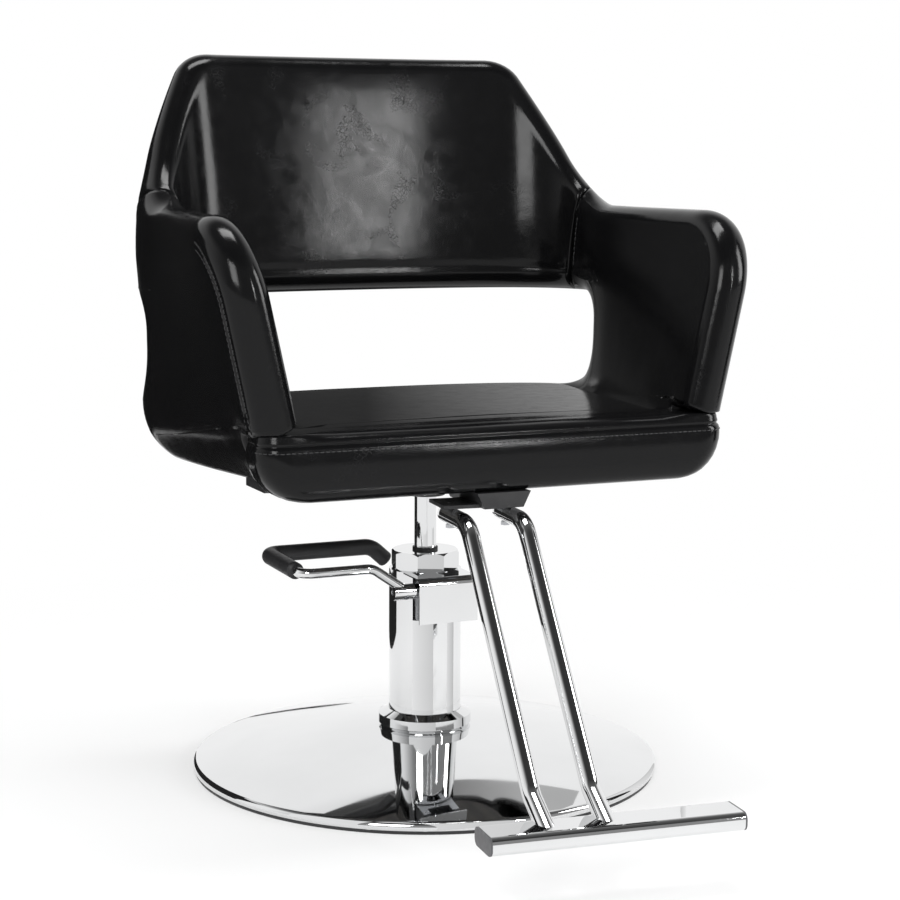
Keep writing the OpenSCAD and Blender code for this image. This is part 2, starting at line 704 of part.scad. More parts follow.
module pump_head() {
    color("dimgray") difference() {
        union() {
            translate([-block_half, block_front, block_low])
                cube([2 * block_half, -block_front, block_top - block_low]);
            for (side = [-1, 1]) {
                tube_x_axis(min(side * ear_in, side * ear_out), max(side * ear_in, side * ear_out),
                    shaft_y, shaft_z, ear_r);
                translate([side > 0 ? ear_in : -ear_out, shaft_y - ear_r + 4, block_low])
                    cube([ear_out - ear_in, -shaft_y, shaft_z - block_low]);
            }
            translate([-ear_out, block_front, block_low]) cube([2 * ear_out, -block_front, 12]);
        }
        translate([0, 0, block_low - 1]) cylinder(h = sleeve_top, r = cylinder_r + 0.1);
        translate([-50, -cylinder_r + 8, block_low - 1]) cube([100, 100, 100]);
        tube_x_axis(-50, 50, shaft_y, shaft_z, shaft_r + slide_gap);
        translate([0, plunger_y, plunger_bore_low]) cylinder(h = 60, r = plunger_r + slide_gap);
        translate([0, plunger_y, block_low - 5]) cylinder(h = 60, r = 2);
    }
}

module lever_cover() {
    color("silver") difference() {
        union() {
            translate([0, 0, sleeve_top]) cylinder(h = cover_t, r = sleeve_r);
            translate([-cover_half, cover_face + cover_bend, sleeve_top])
                cube([2 * cover_half, -cover_face - cover_bend, cover_t]);
            translate([-cover_half, cover_face, cover_low])
                cube([2 * cover_half, cover_t, sleeve_top + cover_t - cover_bend - cover_low]);
            translate([-cover_half, cover_face + cover_bend, sleeve_top + cover_t - cover_bend])
                rotate([0, 90, 0]) rotate([0, 0, 180]) rotate_extrude(angle = 90)
                    translate([cover_bend - cover_t, 0]) square([cover_t, 2 * cover_half]);
        }
        translate([0, 0, sleeve_top - 1]) cylinder(h = cover_t + 2, r = nut_seat + free_gap);
    }
}

// Stations of a bent bar: each step is [length, bend radius, turn, roll before the bend]
function bar_walk(steps, first, i, pos, x, z, rolled) =
    i == len(steps) ? [] :
    let (step = steps[i], y = cross(z, x), far = pos + z * step[0], roll = step[3],
         bend_x = x * cos(roll) + y * sin(roll), bend_y = cross(z, bend_x), turn = step[2],
         count = ceil(turn / bar_bend_step))
    concat(
        i == first ? [[pos, x, y, rolled]] : [],
        i >= first && step[0] > 0 ? [[far, x, y, rolled]] : [],
        [for (k = [1:1:count]) let (a = turn * k / count) if (i >= first)
            [far + bend_x * step[1] * (1 - cos(a)) + z * step[1] * sin(a),
             bend_x * cos(a) - z * sin(a), bend_y, rolled + roll]],
        bar_walk(steps, first, i + 1, far + bend_x * step[1] * (1 - cos(turn)) + z * step[1] * sin(turn),
            bend_x * cos(turn) - z * sin(turn), z * cos(turn) + bend_x * sin(turn), rolled + roll));

// Rings of points around the stations of a bar
function bar_points(stations, d) = [for (s = stations) for (k = [0:bar_sides - 1])
    let (a = 360 * k / bar_sides - s[3]) s[0] + (s[1] * cos(a) + s[2] * sin(a)) * d / 2];
function bar_strips(start, last, flip) =
    flat_list([for (j = [0:last - 1])
        strip(start + j * bar_sides, start + (j + 1) * bar_sides, bar_sides, flip)]);
function ring_cap(start) = [for (k = [0:bar_sides - 1]) start + k];

// Round bar through the stations of its path
module bent_bar(stations, d) {
    last = len(stations) - 1;
    polyhedron(points = bar_points(stations, d), faces = concat(
        [ring_cap(0)], bar_strips(0, last, true), [back_to_front(ring_cap(last * bar_sides))]));
}

// Sleeve around a bar, open at its start and closed at its end
module bent_sleeve(outer, inner, d, bore) {
    last = len(outer) - 1;
    start = len(outer) * bar_sides;
    polyhedron(points = concat(bar_points(outer, d), bar_points(inner, bore)), faces = concat(
        bar_strips(0, last, true), [back_to_front(ring_cap(last * bar_sides))],
        bar_strips(start, last, false), [ring_cap(start + last * bar_sides)],
        strip(0, start, bar_sides, false)));
}

// Pedal group
function pedal_steps(end_len) = [
    [slope_len, bend_r, slope, 180],
    [near_len, corner_r, 90, -90 - loop_tilt],
    [foot_start, 0, 0, 0],
    [cross_len - foot_start, corner_r, 90, 0],
    [far_len, bend_r, drop_turn, 90],
    [end_len, 0, 0, 0]];

// Start of the pedal path, so that its first bend ends level at bend_x
pedal_start = [bend_x + bend_r * sin(slope) + slope_len * cos(slope), shaft_y,
    near_z - bend_r * (1 - cos(slope)) - slope_len * sin(slope)];

function pedal_path(end_len, first) =
    bar_walk(pedal_steps(end_len), first, 0, pedal_start,
             [sin(slope), 0, cos(slope)], [-cos(slope), 0, sin(slope)], 0);
sleeve_step = 3;

module pedal_rod() {
    color("silver") difference() {
        bent_bar(pedal_path(drop_len, 0), rod_d);
        tube_x_axis(-stub_out, 0, shaft_y, shaft_z, stub_r + slide_gap);
    }
}

module pedal_sleeve() {
    color("black") bent_sleeve(
        pedal_path(drop_len + foot_cap, sleeve_step), pedal_path(drop_len, sleeve_step),
        foot_d, rod_d + 2 * slide_gap);
}

module lever_shaft() {
    color("silver") difference() {
        union() {
            tube_x_axis(-stub_in, ear_out + 1, shaft_y, shaft_z, shaft_r);
            tube_x_axis(-stub_out, -stub_in, shaft_y, shaft_z, stub_r);
        }
        tube_x_axis(-stub_out - 1, -stub_out + 7, shaft_y, shaft_z, 3.5);
        tube_x_axis(ear_out - 11, ear_out + 2, shaft_y, shaft_z, 4);
        clamp_place() cylinder(h = 10, d = 8);
    }
}

module clamp_place() {
    translate([-clamp_x, shaft_y, shaft_z]) rotate([130, 0, 0]) translate([0, 0, stub_r - 4.5]) children();
}

module clamp_screw() {
    color("gray") clamp_place() difference() {
        cylinder(h = 4, d = 8 - 0.1);
        translate([0, 0, 2]) cylinder(h = 5, d = 4, $fn = 6);
    }
}

module grub_screw() {
    color("dimgray") difference() {
        tube_x_axis(-stub_out + 0.5, -stub_out + 7, shaft_y, shaft_z, 3.45);
        translate([-stub_out, shaft_y, shaft_z]) rotate([0, 90, 0]) cylinder(h = 4, d = 4, $fn = 6);
    }
}

module shaft_bolt() {
    x0 = ear_out + 1;
    color("silver") union() {
        tube_x_axis(x0, x0 + 2, shaft_y, shaft_z, 10.5);
        tube_x_axis(ear_out - 10, x0 + 1, shaft_y, shaft_z, 3.95);
        translate([x0 + 2, shaft_y, shaft_z]) rotate([0, 90, 0]) hex_head(14, 13);
    }
}

module rocker_arm() {
    color("gray") difference() {
        union() {
            tube_x_axis(-ear_in + 1, ear_in - 1, shaft_y, shaft_z, 12);
            translate([-nose_w / 2, shaft_y, shaft_z - nose_r])
                cube([nose_w, plunger_y - shaft_y, 2 * nose_r]);
            tube_x_axis(-nose_w / 2, nose_w / 2, plunger_y, shaft_z, nose_r);
        }
        tube_x_axis(-ear_in, ear_in, shaft_y, shaft_z, shaft_r + 0.02);
    }
}

module pump_plunger() {
    color("silver") translate([0, plunger_y, plunger_low])
        cylinder(h = plunger_top - plunger_low, r = plunger_r);
}

// Lift group
module lift_ram() {
    color("silver") difference() {
        union() {
            translate([0, 0, ram_low]) cylinder(h = ram_top - ram_low, r = ram_r);
            translate([0, 0, ram_low]) cylinder(h = piston_h, r = bore_r - slide_gap);
        }
        translate([0, 0, ram_low + piston_h / 2]) rotate_extrude()
            translate([bore_r - seal_r - slide_gap, 0])
                square([2 * seal_r + 1, 2 * seal_r + 0.2], center = true);
    }
}

module ram_seal() {
    color("black") translate([0, 0, ram_low + piston_h / 2]) rotate_extrude()
        translate([bore_r - 2 * seal_r - slide_gap, -seal_r]) square([2 * seal_r, 2 * seal_r]);
}

// Seat group
module seat_hub() {
    color("dimgray") difference() {
        union() {
            translate([0, 0, hub_z]) cylinder(h = plate_z - hub_z, r = hub_r);
            translate([0, 0, plate_z - hub_flange_t]) cylinder(h = hub_flange_t, r = hub_flange_r);
        }
        translate([0, 0, hub_z - 1]) cylinder(h = ram_top - hub_z + 1 + free_gap, r = ram_r + slide_gap);
    }
}

module plate_bolt_places() {
    for (x = [-1, 1]) for (y = [-1, 1]) translate([x * plate_bolt, y * plate_bolt, 0]) children();
}

module mount_plate() {
    color("dimgray") difference() {
        translate([0, 0, plate_z]) plate(plate_half, plate_half, plate_corner, plate_t);
        plate_bolt_places() translate([0, 0, plate_z - 1]) cylinder(h = plate_t + 2, d = plate_bolt_hole);
    }
}

module mount_bolts() {
    color("gray") plate_bolt_places() {
        translate([0, 0, plate_z - plate_bolt_head_h]) hex_head(plate_bolt_head, plate_bolt_head_h);
        translate([0, 0, plate_z - 1]) cylinder(h = plate_t + screw_depth, d = plate_bolt_d);
    }
}

board_side = front_half - arm_inset(seat_bottom, shell_len) - cushion_gap - board_wall;
board_front = seat_front - board_inset;
board_rear = tub_rear - cushion_off - board_inset;
board_corner = 60;

module board_block(z, h) {
    translate([0, (board_rear - board_front) / 2, z])
        plate(board_side, (board_rear + board_front) / 2, board_corner, h);
}

module seat_board() {
    color("burlywood") difference() {
        board_block(seat_bottom, board_t);
        plate_bolt_places() translate([0, 0, seat_bottom - 1])
            cylinder(h = screw_depth + 2, d = plate_bolt_d);
        strap_bolt_places() translate([0, 0, seat_bottom - 1]) cylinder(h = screw_depth + 2, d = screw_d);
        channel_bolt_places() translate([0, 0, seat_bottom - 1]) cylinder(h = screw_depth + 2, d = screw_d);
    }
}

module strap_bolt_places() {
    for (x = [-1, 1]) for (y = strap_bolt_y) translate([x * strap_bolt_x, y, 0]) children();
}

module channel_bolt_places() {
    for (y = channel_bolt_y) translate([0, y, 0]) children();
}

module seat_cushion() {
    color("black") difference() {
        cushion_body();
        board_block(seat_bottom - 5, board_t + 5);
    }
}

arm_loop = side_loop(arm_under, arm_face, arm_over, arm_rear);
arm_seams = [for (j = [0:seam_n]) 2 * arm_u + arm_v + j];
back_loop = side_loop(back_under, back_right, back_over, back_left);
back_seams = concat(
    [for (j = [0:back_v]) back_u + j],
    [for (j = [0:back_v]) (2 * back_u + back_v + j) % (2 * (back_u + back_v))]);

module arm_left() {
    color("black") arm_pad();
}

module arm_right() {
    color("black") mirror([1, 0, 0]) arm_pad();
}

module backrest() {
    color("black") pad(back_loop, back_seams, back_u, back_v);
}

// Strap under the seat with a tongue that stands up in a slot of the arm
tongue_x = side_half - tongue_inset
    + (front_half - side_half) * (corner_y - strap_y) / (corner_y + arm_front);

module tongue(gap) {
    translate([tongue_x - plate_t - gap, strap_y - tongue_half - gap, plate_z])
        cube([plate_t + 2 * gap, 2 * (tongue_half + gap), tongue_top - plate_z]);
}

module arm_pad() {
    difference() {
        pad(arm_loop, arm_seams, arm_u, arm_v);
        tongue(tongue_gap);
    }
}

module arm_bracket() {
    difference() {
        union() {
            translate([(strap_in + tongue_x) / 2, strap_y, plate_z])
                plate((tongue_x - strap_in) / 2, strap_half, strap_corner, plate_t);
            tongue(0);
        }
        strap_bolt_places() translate([0, 0, plate_z - 1]) cylinder(h = plate_t + 2, d = screw_hole);
    }
}

module arm_bracket_left() {
    color("dimgray") arm_bracket();
}

module arm_bracket_right() {
    color("dimgray") mirror([1, 0, 0]) arm_bracket();
}

module bracket_bolts() {
    color("gray") strap_bolt_places() {
        translate([0, 0, plate_z - screw_head_h]) hex_head(screw_head, screw_head_h);
        translate([0, 0, plate_z - 1]) cylinder(h = plate_t + screw_depth, d = screw_d);
    }
}

// Footrest group
module rest_place() {
    rotate([0, 0, rest_turn]) children();
}

module tube_bolt_places() {
    for (x = [-1, 1]) rest_place() translate([x * tube_x, tube_bolt_y, 0]) children();
}

module footrest_bracket() {
    rear_y = -bracket_rear;
    color("black") difference() {
        union() {
            translate([0, rear_y, 0]) rotate([90, 0, 0]) linear_extrude(height = bracket_front - bracket_rear)
                polygon([[-bracket_low_half, clamp_z], [bracket_low_half, clamp_z],
                    [bracket_top_half, seat_bottom], [-bracket_top_half, seat_bottom]]);
            rest_place() translate([-clamp_half, -clamp_front, clamp_z])
                cube([2 * clamp_half, clamp_front - clamp_rear, clamp_t]);
        }
        channel_bolt_places() translate([0, 0, clamp_z - 1])
            cylinder(h = seat_bottom - clamp_z + 2, d = screw_hole);
        tube_bolt_places() translate([0, 0, clamp_z - 1]) cylinder(h = clamp_t + 2, d = screw_hole);
    }
}

tube_steps = [
    [tube_rear - tube_bend_y, tube_bend_r, tube_drop, -90],
    [leg_len, toe_r, toe_turn, 180],
    [toe_len + toe_sink, 0, 0, 0]];

module bar_section(grow) {
    hy = bar_depth / 2 + grow;
    hz = bar_height / 2 + grow;
    polygon(rounded_box(hz, hy, bar_round + grow));
}

module bar_solid(grow, length) {
    translate([bar_shift - length / 2, -bar_reach, bar_z]) rotate([0, 90, 0])
        linear_extrude(height = length) bar_section(grow);
}

module footrest_tube() {
    difference() {
        bent_bar(bar_walk(tube_steps, 0, 0, [0, tube_rear, tube_z], [1, 0, 0], [0, -1, 0], 0), tube_d);
        bar_solid(bar_gap, 2 * bar_length);
        translate([-bar_depth, -bar_reach - bar_depth / 2, bar_z - bar_height])
            cube([2 * bar_depth, bar_depth - bar_round, bar_height]);
        translate([0, tube_bolt_y, tube_z - 20]) cylinder(h = 40, d = screw_hole);
        translate([0, tube_rear + 1, tube_z]) rotate([90, 0, 0]) cylinder(h = 9, r = tube_r - tube_wall);
    }
}

module footrest_tube_left() {
    color("silver") rest_place() translate([tube_x, 0, 0]) footrest_tube();
}

module footrest_tube_right() {
    color("silver") rest_place() translate([-tube_x, 0, 0]) footrest_tube();
}

module footrest_bar() {
    color("silver") rest_place() difference() {
        bar_solid(0, bar_length);
        bar_solid(-bar_wall, bar_length + 2);
    }
}

module bar_cap(side) {
    x0 = bar_shift + side * bar_length / 2;
    color("dimgray") rest_place() union() {
        translate([side > 0 ? x0 : x0 - cap_t, -bar_reach, bar_z]) rotate([0, 90, 0])
            linear_extrude(height = cap_t) bar_section(0);
        translate([side > 0 ? x0 - cap_plug : x0, -bar_reach, bar_z]) rotate([0, 90, 0])
            linear_extrude(height = cap_plug) bar_section(-bar_wall - 0.1);
    }
}

module bar_cap_left() {
    bar_cap(1);
}

module bar_cap_right() {
    bar_cap(-1);
}

module footrest_bolts() {
    color("gray") {
        tube_bolt_places() translate([0, 0, tube_z - tube_r]) {
            translate([0, 0, -screw_head_h]) hex_head(screw_head, screw_head_h);
            translate([0, 0, -1]) cylinder(h = tube_d + clamp_t, d = screw_d);
        }
        channel_bolt_places() {
            translate([0, 0, clamp_z - screw_head_h]) hex_head(screw_head, screw_head_h);
            translate([0, 0, clamp_z - 1]) cylinder(h = seat_bottom - clamp_z + screw_depth, d = screw_d);
        }
    }
}

base_plate();
floor_ring();
base_weight();
centre_pad();
pump_foot();
pump_bolts();
trim_ring();
pump_cylinder();
pump_sleeve();
gland_nut();
wiper_seal();
pump_head();
lever_cover();
lever_shaft();
rocker_arm();
pedal_rod();
pedal_sleeve();
clamp_screw();
grub_screw();
shaft_bolt();
pump_plunger();
lift_ram();
ram_seal();
seat_hub();
mount_plate();
mount_bolts();
seat_board();
seat_cushion();
arm_left();
arm_right();
backrest();
arm_bracket_left();
arm_bracket_right();
bracket_bolts();
footrest_bracket();
footrest_tube_left();
footrest_tube_right();
footrest_bar();
bar_cap_left();
bar_cap_right();
footrest_bolts();
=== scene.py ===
"""Looks of the styling chair: upholstery, chrome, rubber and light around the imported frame."""

import json
import math

import bmesh
import bpy
import numpy as np
from mathutils import Matrix, Vector, noise


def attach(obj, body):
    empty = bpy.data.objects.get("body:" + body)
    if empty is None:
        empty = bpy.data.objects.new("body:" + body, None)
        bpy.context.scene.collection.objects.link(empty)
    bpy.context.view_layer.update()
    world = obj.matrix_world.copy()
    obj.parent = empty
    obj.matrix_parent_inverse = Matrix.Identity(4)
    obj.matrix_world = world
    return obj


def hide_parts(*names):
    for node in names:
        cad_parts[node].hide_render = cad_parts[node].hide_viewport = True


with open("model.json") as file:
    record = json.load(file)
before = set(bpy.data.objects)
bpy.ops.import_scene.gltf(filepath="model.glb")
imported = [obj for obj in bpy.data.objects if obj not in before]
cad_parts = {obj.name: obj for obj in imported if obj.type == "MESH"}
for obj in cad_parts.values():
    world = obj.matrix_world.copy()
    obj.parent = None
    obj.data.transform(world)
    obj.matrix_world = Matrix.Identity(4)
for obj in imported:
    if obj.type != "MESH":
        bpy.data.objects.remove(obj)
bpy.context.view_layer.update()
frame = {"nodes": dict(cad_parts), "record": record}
MM = 0.001

# Tub shape in millimetres, as in the solids but with rounder corners and a shorter step at the arm's foot
SIDE_HALF, FRONT_HALF = 290, 262
ARM_FRONT, TUB_REAR, CORNER_Y = 222, 223, 110
ARM_TOP, BACK_TOP, BACK_BOTTOM = 682, 868, 570
PAD_T, POWER = 52, 2.5
REAR_FLARE, SIDE_FLARE, FRONT_FLARE, FLARE_HOLD = 7, 0.5, 12.5, 190
NOTCH_SHEAR, SHEAR_REACH = 24, 90
UNDER_Z, UNDER_R, UNDER_TURN = 452, 62, 71
BACK_CORNER_S, BACK_CORNER_R = 208, 46
SHOULDER_TURN, SHOULDER_R, ARM_CORNER_R = 60, 120, 92
WINDOW_S, WINDOW_LOW_R, WINDOW_HIGH_R = 6, 72, 34
TAIL_S, TAIL_TOP, TAIL_LOW_R, TAIL_HIGH_R = 230, -8, 48, 20
TOE_CORNER_R, TOE_STEP, TOE_Q = 26, 48, -1.5
RIM_W, RIM_LAND = 24, 1.5
SEAM_DEPTH, TOE_SEAM_DEPTH, SEAM_WIDTH, SEAM_GAP = 7, 2.5, 6, 0.02
SEAM_TOP_PAST, SEAM_BEFORE, SEAM_BEND = 2, 46, 2.6
PAD_CROWN, CROWN_WIDTH = 3, 70
SEAT_TOP, SEAT_BOTTOM, SEAT_FRONT = 450, 373, 228
CUSHION_GAP, CUSHION_CROWN = 1.5, 4
LOBE_R, LOBE_OUT, LOBE_TUCK, LOBE_STEP = 30, 27, 46, 1.5
LOBE_MIN_R, LOBE_MIN_FLAT, LOBE_DEEPEST = 4, 2, 0.97
HALF_T = PAD_T / 2
PAD_DEEP = HALF_T + PAD_CROWN


def radians(a):
    return np.radians(a)


def arc(cx, cy, r, start, end, steps):
    a = radians(np.linspace(start, end, steps + 1))
    return np.column_stack([cx + r * np.cos(a), cy + r * np.sin(a)])


def run_of(points):
    return np.concatenate([[0], np.cumsum(np.linalg.norm(np.diff(points, axis=0), axis=1))])


def at_runs(points, at):
    run = run_of(points)
    return np.column_stack([np.interp(at, run, points[:, k]) for k in range(points.shape[1])])


def resample(points, count):
    return at_runs(points, np.linspace(0, run_of(points)[-1], count + 1))


def join(*lines):
    return np.concatenate([lines[0]] + [line[1:] for line in lines[1:]])


def unit(v):
    return v / np.linalg.norm(v, axis=-1, keepdims=True)


def smooth(t):
    t = np.clip(t, 0, 1)
    return t * t * (3 - 2 * t)


# Plan line of the tub at seat height, from the middle of the back to the arm front
PLAN_STEPS = 400
plan_turn = radians(90 * (1 - np.linspace(0, 1, PLAN_STEPS + 1)))
corner_depth = TUB_REAR - CORNER_Y
corner = np.column_stack([
    SIDE_HALF * np.abs(np.cos(plan_turn)) ** (2 / POWER),
    CORNER_Y + corner_depth * np.abs(np.sin(plan_turn)) ** (2 / POWER)])
corner_run = run_of(corner)
corner_len = corner_run[-1]
corner_normal = unit(np.column_stack([
    (corner[:, 0] / SIDE_HALF) ** (POWER - 1) / SIDE_HALF,
    ((corner[:, 1] - CORNER_Y) / corner_depth) ** (POWER - 1) / corner_depth]))
arm_vec = np.array([FRONT_HALF - SIDE_HALF, -ARM_FRONT - CORNER_Y])
arm_len = np.linalg.norm(arm_vec)
arm_dir = arm_vec / arm_len
shell_len = corner_len + arm_len


def plan(s):
    """Point and outward normal of the plan line at each run length s."""
    over = np.maximum(s - corner_len, 0)[:, None]
    point = np.column_stack([np.interp(s, corner_run, corner[:, k]) for k in (0, 1)]) + arm_dir * over
    normal = np.column_stack([np.interp(s, corner_run, corner_normal[:, k]) for k in (0, 1)])
    return point, unit(normal)


def flare_at(s):
    """Flare of the wall, in radians, at each run length s."""
    rear = REAR_FLARE + (SIDE_FLARE - REAR_FLARE) * smooth((s - FLARE_HOLD) / (corner_len - FLARE_HOLD))
    front = SIDE_FLARE + (FRONT_FLARE - SIDE_FLARE) * smooth((s - corner_len) / arm_len)
    return radians(np.where(s < corner_len, rear, front))


window_end = corner_len + WINDOW_S


def shell_points(s, q, n):
    """Points of the tub: s along the plan line, q up the wall, n out from the mid surface."""
    side = np.where(s < 0, -1.0, 1.0)
    run = np.abs(s)
    slide = NOTCH_SHEAR * n / HALF_T * (1 - smooth(np.abs(run - window_end) / SHEAR_REACH))
    run = np.maximum(0, run - slide)
    point, normal = plan(run)
    flare = flare_at(run)
    turn = flare + np.maximum(-q, 0) / UNDER_R
    out = np.where(q >= 0, q * np.tan(flare), UNDER_R * (np.cos(turn) - np.cos(flare))) + n * np.cos(turn)
    z = np.where(q >= 0, UNDER_Z + q, UNDER_Z - UNDER_R * (np.sin(turn) - np.sin(flare)))
    return np.column_stack([
        side * (point[:, 0] + normal[:, 0] * out), point[:, 1] + normal[:, 1] * out, z - n * np.sin(turn)])


def wall_q(z):
    return z - UNDER_Z


# Outline of the arms and back on the unrolled wall, as [s, q] points
low_q = -UNDER_R * radians(UNDER_TURN)
window_q, arm_q, back_q = wall_q(BACK_BOTTOM), wall_q(ARM_TOP), wall_q(BACK_TOP)
shoulder_tan = np.tan(radians(SHOULDER_TURN / 2))
shoulder_s = BACK_CORNER_S + (back_q - arm_q) / np.tan(radians(SHOULDER_TURN))
arm_arc_s, arm_arc_q = shell_len - ARM_CORNER_R, arm_q - ARM_CORNER_R
top_line = np.concatenate([
    [[0, back_q]],
    arc(BACK_CORNER_S - BACK_CORNER_R * shoulder_tan, back_q - BACK_CORNER_R, BACK_CORNER_R,
        90, 90 - SHOULDER_TURN, 24),
    arc(shoulder_s + SHOULDER_R * shoulder_tan, arm_q + SHOULDER_R, SHOULDER_R,
        270 - SHOULDER_TURN, 270, 30),
    [[arm_arc_s, arm_q]]])
seam_top_s, seam_s = shoulder_s + SEAM_TOP_PAST, corner_len - SEAM_BEFORE
seam_top_q = np.interp(seam_top_s, top_line[:, 0], top_line[:, 1])
seam_top = np.array([[seam_top_s, seam_top_q]])
seam_t = np.linspace(0, 1, 61)
seam_line = np.column_stack([
    seam_s + (seam_top_s - seam_s) * seam_t ** SEAM_BEND, window_q + (seam_top_q - window_q) * seam_t])

# Grid counts of the pads
SEAM_N, TAIL_N, NOTCH_N, LINTEL_N, TOE_N = 34, 30, 34, 6, 10
ARM_U, BACK_U, RINGS = 64, 128, 9
ARM_V = SEAM_N + TAIL_N + NOTCH_N + LINTEL_N
SEAM_LOW_END, SEAM_HIGH_END = 26, 38
seam_run = run_of(seam_line)[-1]
seam_points = at_runs(seam_line, np.concatenate([
    [0], np.linspace(SEAM_LOW_END, seam_run - SEAM_HIGH_END, SEAM_N - 1), [seam_run]]))
tail_line = np.concatenate([
    arc(TAIL_S + TAIL_LOW_R, low_q + TAIL_LOW_R, TAIL_LOW_R, 225, 180, 16),
    arc(TAIL_S + TAIL_HIGH_R, TAIL_TOP - TAIL_HIGH_R, TAIL_HIGH_R, 180, 90, 20),
    [[window_end - WINDOW_LOW_R, TAIL_TOP]]])
notch_line = np.concatenate([
    arc(window_end - WINDOW_LOW_R, TAIL_TOP + WINDOW_LOW_R, WINDOW_LOW_R, 270, 360, 24),
    arc(window_end - WINDOW_HIGH_R, window_q - WINDOW_HIGH_R, WINDOW_HIGH_R, 0, 90, 16)])
lintel_line = np.array([[window_end - WINDOW_HIGH_R, window_q], [seam_s, window_q]])
arm_rear = join(resample(tail_line, TAIL_N), resample(notch_line, NOTCH_N), resample(lintel_line, LINTEL_N),
                seam_points)
toe_s, face_high = shell_len - TOE_STEP, arm_arc_q
toe_low = np.concatenate([
    arc(toe_s - TOE_CORNER_R, low_q + TOE_CORNER_R, TOE_CORNER_R, 315, 360, 16), [[toe_s, TOE_Q]]])
toe_runs = (*np.linspace(toe_s, shell_len - SEAM_LOW_END, TOE_N), shell_len)
toe_under = np.array([[s, TOE_Q] for s in toe_runs])
toe_high = np.array([[shell_len, TOE_Q], [shell_len, face_high]])
face_top = np.concatenate([[[shell_len, face_high]], arc(arm_arc_s, arm_arc_q, ARM_CORNER_R, 0, 45, 20)])
arm_face = join(resample(toe_low, TAIL_N - TOE_N), toe_under, resample(toe_high, NOTCH_N),
                resample(face_top, LINTEL_N + SEAM_N))
arm_under = resample(np.concatenate([
    arc(TAIL_S + TAIL_LOW_R, low_q + TAIL_LOW_R, TAIL_LOW_R, 225, 270, 16),
    arc(toe_s - TOE_CORNER_R, low_q + TOE_CORNER_R, TOE_CORNER_R, 270, 315, 12)]), ARM_U)
arm_over = resample(np.concatenate([
    seam_top, top_line[top_line[:, 0] > seam_top_s],
    arc(arm_arc_s, arm_arc_q, ARM_CORNER_R, 90, 45, 20)]), ARM_U)
back_half = np.concatenate([top_line[top_line[:, 0] < seam_top_s], seam_top])
MIRROR = np.array([-1, 1])
back_over = resample(join(back_half[::-1] * MIRROR, back_half), BACK_U)
back_under = resample(np.array([[-seam_s, window_q], [seam_s, window_q]]), BACK_U)


def side_loop(low, right, high, left):
    return np.concatenate([low[:-1], right[:-1], high[:0:-1], left[:0:-1]])


def loop_inward(loop):
    before = unit(loop - np.roll(loop, 1, axis=0))
    after = unit(np.roll(loop, -1, axis=0) - loop)
    t = unit(before + after)
    return np.column_stack([-t[:, 1], t[:, 0]])


def patch(loop, nu, nv):
    """Grid blended from the four sides of a loop, as rows from low to high."""
    m = len(loop)
    low, right = loop[:nu + 1], loop[nu:nu + nv + 1]
    high = loop[nu + nv:2 * nu + nv + 1][::-1]
    left = loop[[(m - j) % m for j in range(nv + 1)]]
    u = np.linspace(0, 1, nu + 1)[None, :, None]
    v = np.linspace(0, 1, nv + 1)[:, None, None]
    sides = (1 - v) * low[None] + v * high[None] + (1 - u) * left[:, None] + u * right[:, None]
    ends = ((1 - u) * (1 - v) * low[0] + u * (1 - v) * low[-1] + (1 - u) * v * high[0] + u * v * high[-1])
    return sides - ends


def grid_ring(nu, nv):
    """Index in the grid of each point of the loop."""
    row = nu + 1
    return ([i for i in range(nu)] + [j * row + nu for j in range(nv)]
            + [nv * row + i for i in range(nu, 0, -1)] + [j * row for j in range(nv, 0, -1)])


def ring_faces(first, second):
    m = len(first)
    return [(first[i], first[(i + 1) % m], second[(i + 1) % m], second[i]) for i in range(m)]


def grid_faces(start, nu, nv):
    row = nu + 1
    firsts = [start + j * row + i for j in range(nv) for i in range(nu)]
    return [(k, k + 1, k + row + 1, k + row) for k in firsts]


def make_object(name, points_mm, faces):
    mesh = bpy.data.meshes.new(name)
    mesh.from_pydata((np.asarray(points_mm) * MM).tolist(), [], faces)
    mesh.validate()
    bm = bmesh.new()
    bm.from_mesh(mesh)
    bmesh.ops.recalc_face_normals(bm, faces=bm.faces)
    bm.to_mesh(mesh)
    bm.free()
    for polygon in mesh.polygons:
        polygon.use_smooth = True
    piece = bpy.data.objects.new(name, mesh)
    bpy.context.scene.collection.objects.link(piece)
    return piece


def lumps(points_mm, scale, seed):
    """Smooth noise in about -1..1 at each point, its features about 1/scale metres wide."""
    shift = Vector((seed * 7.3, seed * 3.1, seed * 5.7))
    return np.array([noise.noise(Vector(p) * (MM * scale) + shift) for p in points_mm])


def nearest(points, loop):
    return np.min(np.linalg.norm(points[:, None] - loop[None], axis=2), axis=1)


